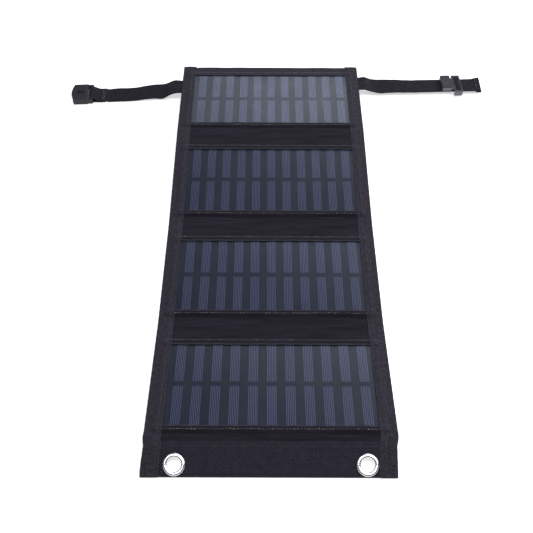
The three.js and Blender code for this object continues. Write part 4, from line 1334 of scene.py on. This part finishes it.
def turned(profile, centre, across, ahead, up, sides=40):
    """A solid of revolution from an open (r, w) profile, closed on its axis at both ends."""
    centre, across, ahead, up = (np.asarray(v, float) for v in (centre, across, ahead, up))
    turn = np.linspace(0, 2 * math.pi, sides, endpoint=False)
    ring = np.cos(turn)[:, None] * across + np.sin(turn)[:, None] * ahead
    points = [centre + ring * r + up * w for r, w in profile]
    points = np.concatenate(points + [[centre + up * profile[0][1], centre + up * profile[-1][1]]])
    faces = []
    for k in range(len(profile) - 1):
        for j in range(sides):
            n = (j + 1) % sides
            faces.append((k * sides + j, k * sides + n, (k + 1) * sides + n, (k + 1) * sides + j))
    first, last = len(profile) * sides, len(profile) * sides + 1
    for j in range(sides):
        n = (j + 1) % sides
        faces.append((first, n, j))
        faces.append((last, (len(profile) - 1) * sides + j, (len(profile) - 1) * sides + n))
    return points, faces


TONGUE_BLACK = plastic_material("socket_insulator", (0.004, 0.004, 0.005), (0.009, 0.009, 0.011), 0.3, 0.02, (0.4, 0.55))
LAMP = plastic_material("indicator_lens", (0.03, 0.2, 0.06), (0.05, 0.3, 0.1), 0.3, 0.01, (0.12, 0.2))
(shell_low, shell_high) = [np.array(v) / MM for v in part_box("output_socket_shell")]
(cover_low, cover_high) = [np.array(v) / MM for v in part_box("regulator_cover")]
(base_low, base_high) = [np.array(v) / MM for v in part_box("regulator_base")]
SHELL_WALL = 0.4
TONGUE_L = 9.0
TONGUE_T = 1.5
CONTACT_W = 1.1
mouth_y, rear_y = shell_high[1], shell_low[1]
tongue_z = shell_high[2] - SHELL_WALL - 0.75
inner = (shell_low + SHELL_WALL + 0.06, shell_high - SHELL_WALL - 0.06)
fill = Parts()
brick(fill, (inner[0][0], rear_y + 0.3, inner[0][2]), (inner[1][0], rear_y + 2.6, inner[1][2]))
brick(fill, (inner[0][0] + 0.5, rear_y + 2.4, tongue_z - TONGUE_T), (inner[1][0] - 0.5, mouth_y - 1.6, tongue_z))
for k in range(4):
    x = (inner[0][0] + inner[1][0]) / 2 + (k - 1.5) * 2.4
    brick(fill, (x - CONTACT_W / 2, rear_y + 2.7, tongue_z - TONGUE_T - 0.12), (x + CONTACT_W / 2, mouth_y - 2.6, tongue_z - TONGUE_T + 0.1), 1)
piece = mm_mesh("output_socket_tongue", fill, [TONGUE_BLACK, COPPER])
soft = piece.modifiers.new("soft_edges", "BEVEL")
soft.width = 0.1 * MM
soft.segments = 2
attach(piece, "panel_1")

RIVET = [(0.01, -0.1), (1.25, -0.1), (1.25, 0.14), (1.1, 0.34), (0.75, 0.5), (0.35, 0.57), (0.01, 0.58)]
RIVET_IN = 2.6
rivets = Parts()
for x in (base_low[0] + RIVET_IN, base_high[0] - RIVET_IN):
    for y in (base_low[1] + RIVET_IN, base_high[1] - RIVET_IN):
        rivets.add(*turned(RIVET, (x, y, base_low[2]), (1, 0, 0), (0, -1, 0), (0, 0, -1)))
piece = mm_mesh("regulator_rivets", rivets, [CHROME], sharp=50)
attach(piece, "panel_1")

BEZEL = [(0.01, -0.3), (2.3, -0.3), (2.3, 0.25), (2.15, 0.42), (1.7, 0.42), (1.6, 0.2), (0.01, 0.2)]
LENS_DOME = [(0.01, 0.0), (1.5, 0.0), (1.5, 0.35), (1.3, 0.6), (0.9, 0.8), (0.4, 0.9), (0.01, 0.91)]
lamp_at = ((shell_high[0] + cover_high[0]) / 2, cover_high[1], (shell_low[2] + shell_high[2]) / 2)
lamp = Parts()
lamp.add(*turned(BEZEL, lamp_at, (1, 0, 0), (0, 0, 1), (0, 1, 0)))
lamp.add(*turned(LENS_DOME, lamp_at, (1, 0, 0), (0, 0, 1), (0, 1, 0)), slot=1)
piece = mm_mesh("charge_indicator", lamp, [BOX, LAMP], sharp=40)
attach(piece, "panel_1")

# ---- carried-over nodes: soft edges and materials --------------------------------------------
NODE_LOOKS = [
    ("module_board_", BOARD, 0), ("cell_string_", CELL, 0), ("cover_film_", FILM, 0), ("jumper_", COPPER, 0.08),
    ("regulator_base", BOX, 0.4), ("regulator_cover", BOX, 0.35), ("regulator_circuit_board", CIRCUIT, 0.1),
    ("output_socket_shell", CHROME, 0.1), ("buckle_socket", BUCKLE, 0.45), ("release_button", BUTTON, 0.2),
    ("buckle_plug", GRAINED, 0.35),
]
for name, node in frame["nodes"].items():
    for start, surface, edge in NODE_LOOKS:
        if not name.startswith(start):
            continue
        node.data.materials.clear()
        node.data.materials.append(surface)
        if edge:
            weld = node.modifiers.new("weld", "WELD")
            weld.merge_threshold = 1e-6
            bevel = node.modifiers.new("soft_edges", "BEVEL")
            bevel.width = edge * MM
            bevel.segments = 3
            bevel.limit_method = "ANGLE"
            bevel.angle_limit = math.radians(32)
            bevel.use_clamp_overlap = True
            node.modifiers.new("normals", "WEIGHTED_NORMAL")

# ---- camera, floor and light -------------------------------------------------------------------
CAMERA_AT = Vector((-0.00417, -0.47386, 0.54165))
LOOK_DOWN = math.radians(51.062)
LOOK_ASIDE = math.radians(0.071)
ROLL = math.radians(0.257)
LENS = 52.74

ahead = Vector((math.sin(LOOK_ASIDE) * math.cos(LOOK_DOWN), math.cos(LOOK_ASIDE) * math.cos(LOOK_DOWN), -math.sin(LOOK_DOWN)))
level = Vector((math.cos(LOOK_ASIDE), -math.sin(LOOK_ASIDE), 0))
upright = level.cross(ahead)
right = level * math.cos(ROLL) + upright * math.sin(ROLL)
above = upright * math.cos(ROLL) - level * math.sin(ROLL)
camera = bpy.data.objects.new("camera", bpy.data.cameras.new("camera"))
camera.data.lens = LENS
camera.data.sensor_width = 36
camera.matrix_world = Matrix((
    (right.x, above.x, -ahead.x, CAMERA_AT.x),
    (right.y, above.y, -ahead.y, CAMERA_AT.y),
    (right.z, above.z, -ahead.z, CAMERA_AT.z),
    (0, 0, 0, 1),
))
bpy.context.scene.collection.objects.link(camera)
bpy.context.scene.camera = camera

floor_mesh = bpy.data.meshes.new("floor")
reach = 6.0
floor_mesh.from_pydata([(-reach, -reach, -0.0002), (reach, -reach, -0.0002), (reach, reach, -0.0002), (-reach, reach, -0.0002)], [], [(0, 1, 2, 3)])
floor = bpy.data.objects.new("floor", floor_mesh)
bpy.context.scene.collection.objects.link(floor)
floor_look = Graph("floor")
grain = floor_look.noise(floor_look.place(), 40.0)
floor_mesh.materials.append(floor_look.finish(
    Base_Color=floor_look.mix(grain, (0.9, 0.9, 0.9), (0.93, 0.93, 0.93)),
    Roughness=0.9,
    Emission_Color=(1.0, 1.0, 1.0, 1.0),
    Emission_Strength=0.55,
))

bpy.context.scene.view_settings.view_transform = "Standard"
world = bpy.data.worlds.new("studio")
bpy.context.scene.world = world
world.use_nodes = True
world.node_tree.nodes["Background"].inputs["Color"].default_value = (0.9, 0.95, 1.0, 1)
world.node_tree.nodes["Background"].inputs["Strength"].default_value = 0.2


def soft_light(name, place, target, size, power, colour=(1, 1, 1)):
    light = bpy.data.lights.new(name, "AREA")
    light.shape = "RECTANGLE"
    light.size, light.size_y = size
    light.energy = power
    light.color = colour
    lamp = bpy.data.objects.new(name, light)
    lamp.location = place
    lamp.rotation_mode = "QUATERNION"
    lamp.rotation_quaternion = (Vector(target) - Vector(place)).to_track_quat("-Z", "Y")
    lamp.visible_camera = False
    bpy.context.scene.collection.objects.link(lamp)
    return lamp


soft_light("back_bank", (0.62, 1.5, 1.17), (0, 0.1, 0), (2.0, 0.76), 21.5, (0.82, 0.88, 1.0))
soft_light("top_bank", (0, -0.75, 2.4), (0, 0, 0), (2.0, 1.4), 38)
soft_light("right_bank", (1.0, 0.0, 0.9), (0, 0, 0), (0.9, 0.9), 6.5)
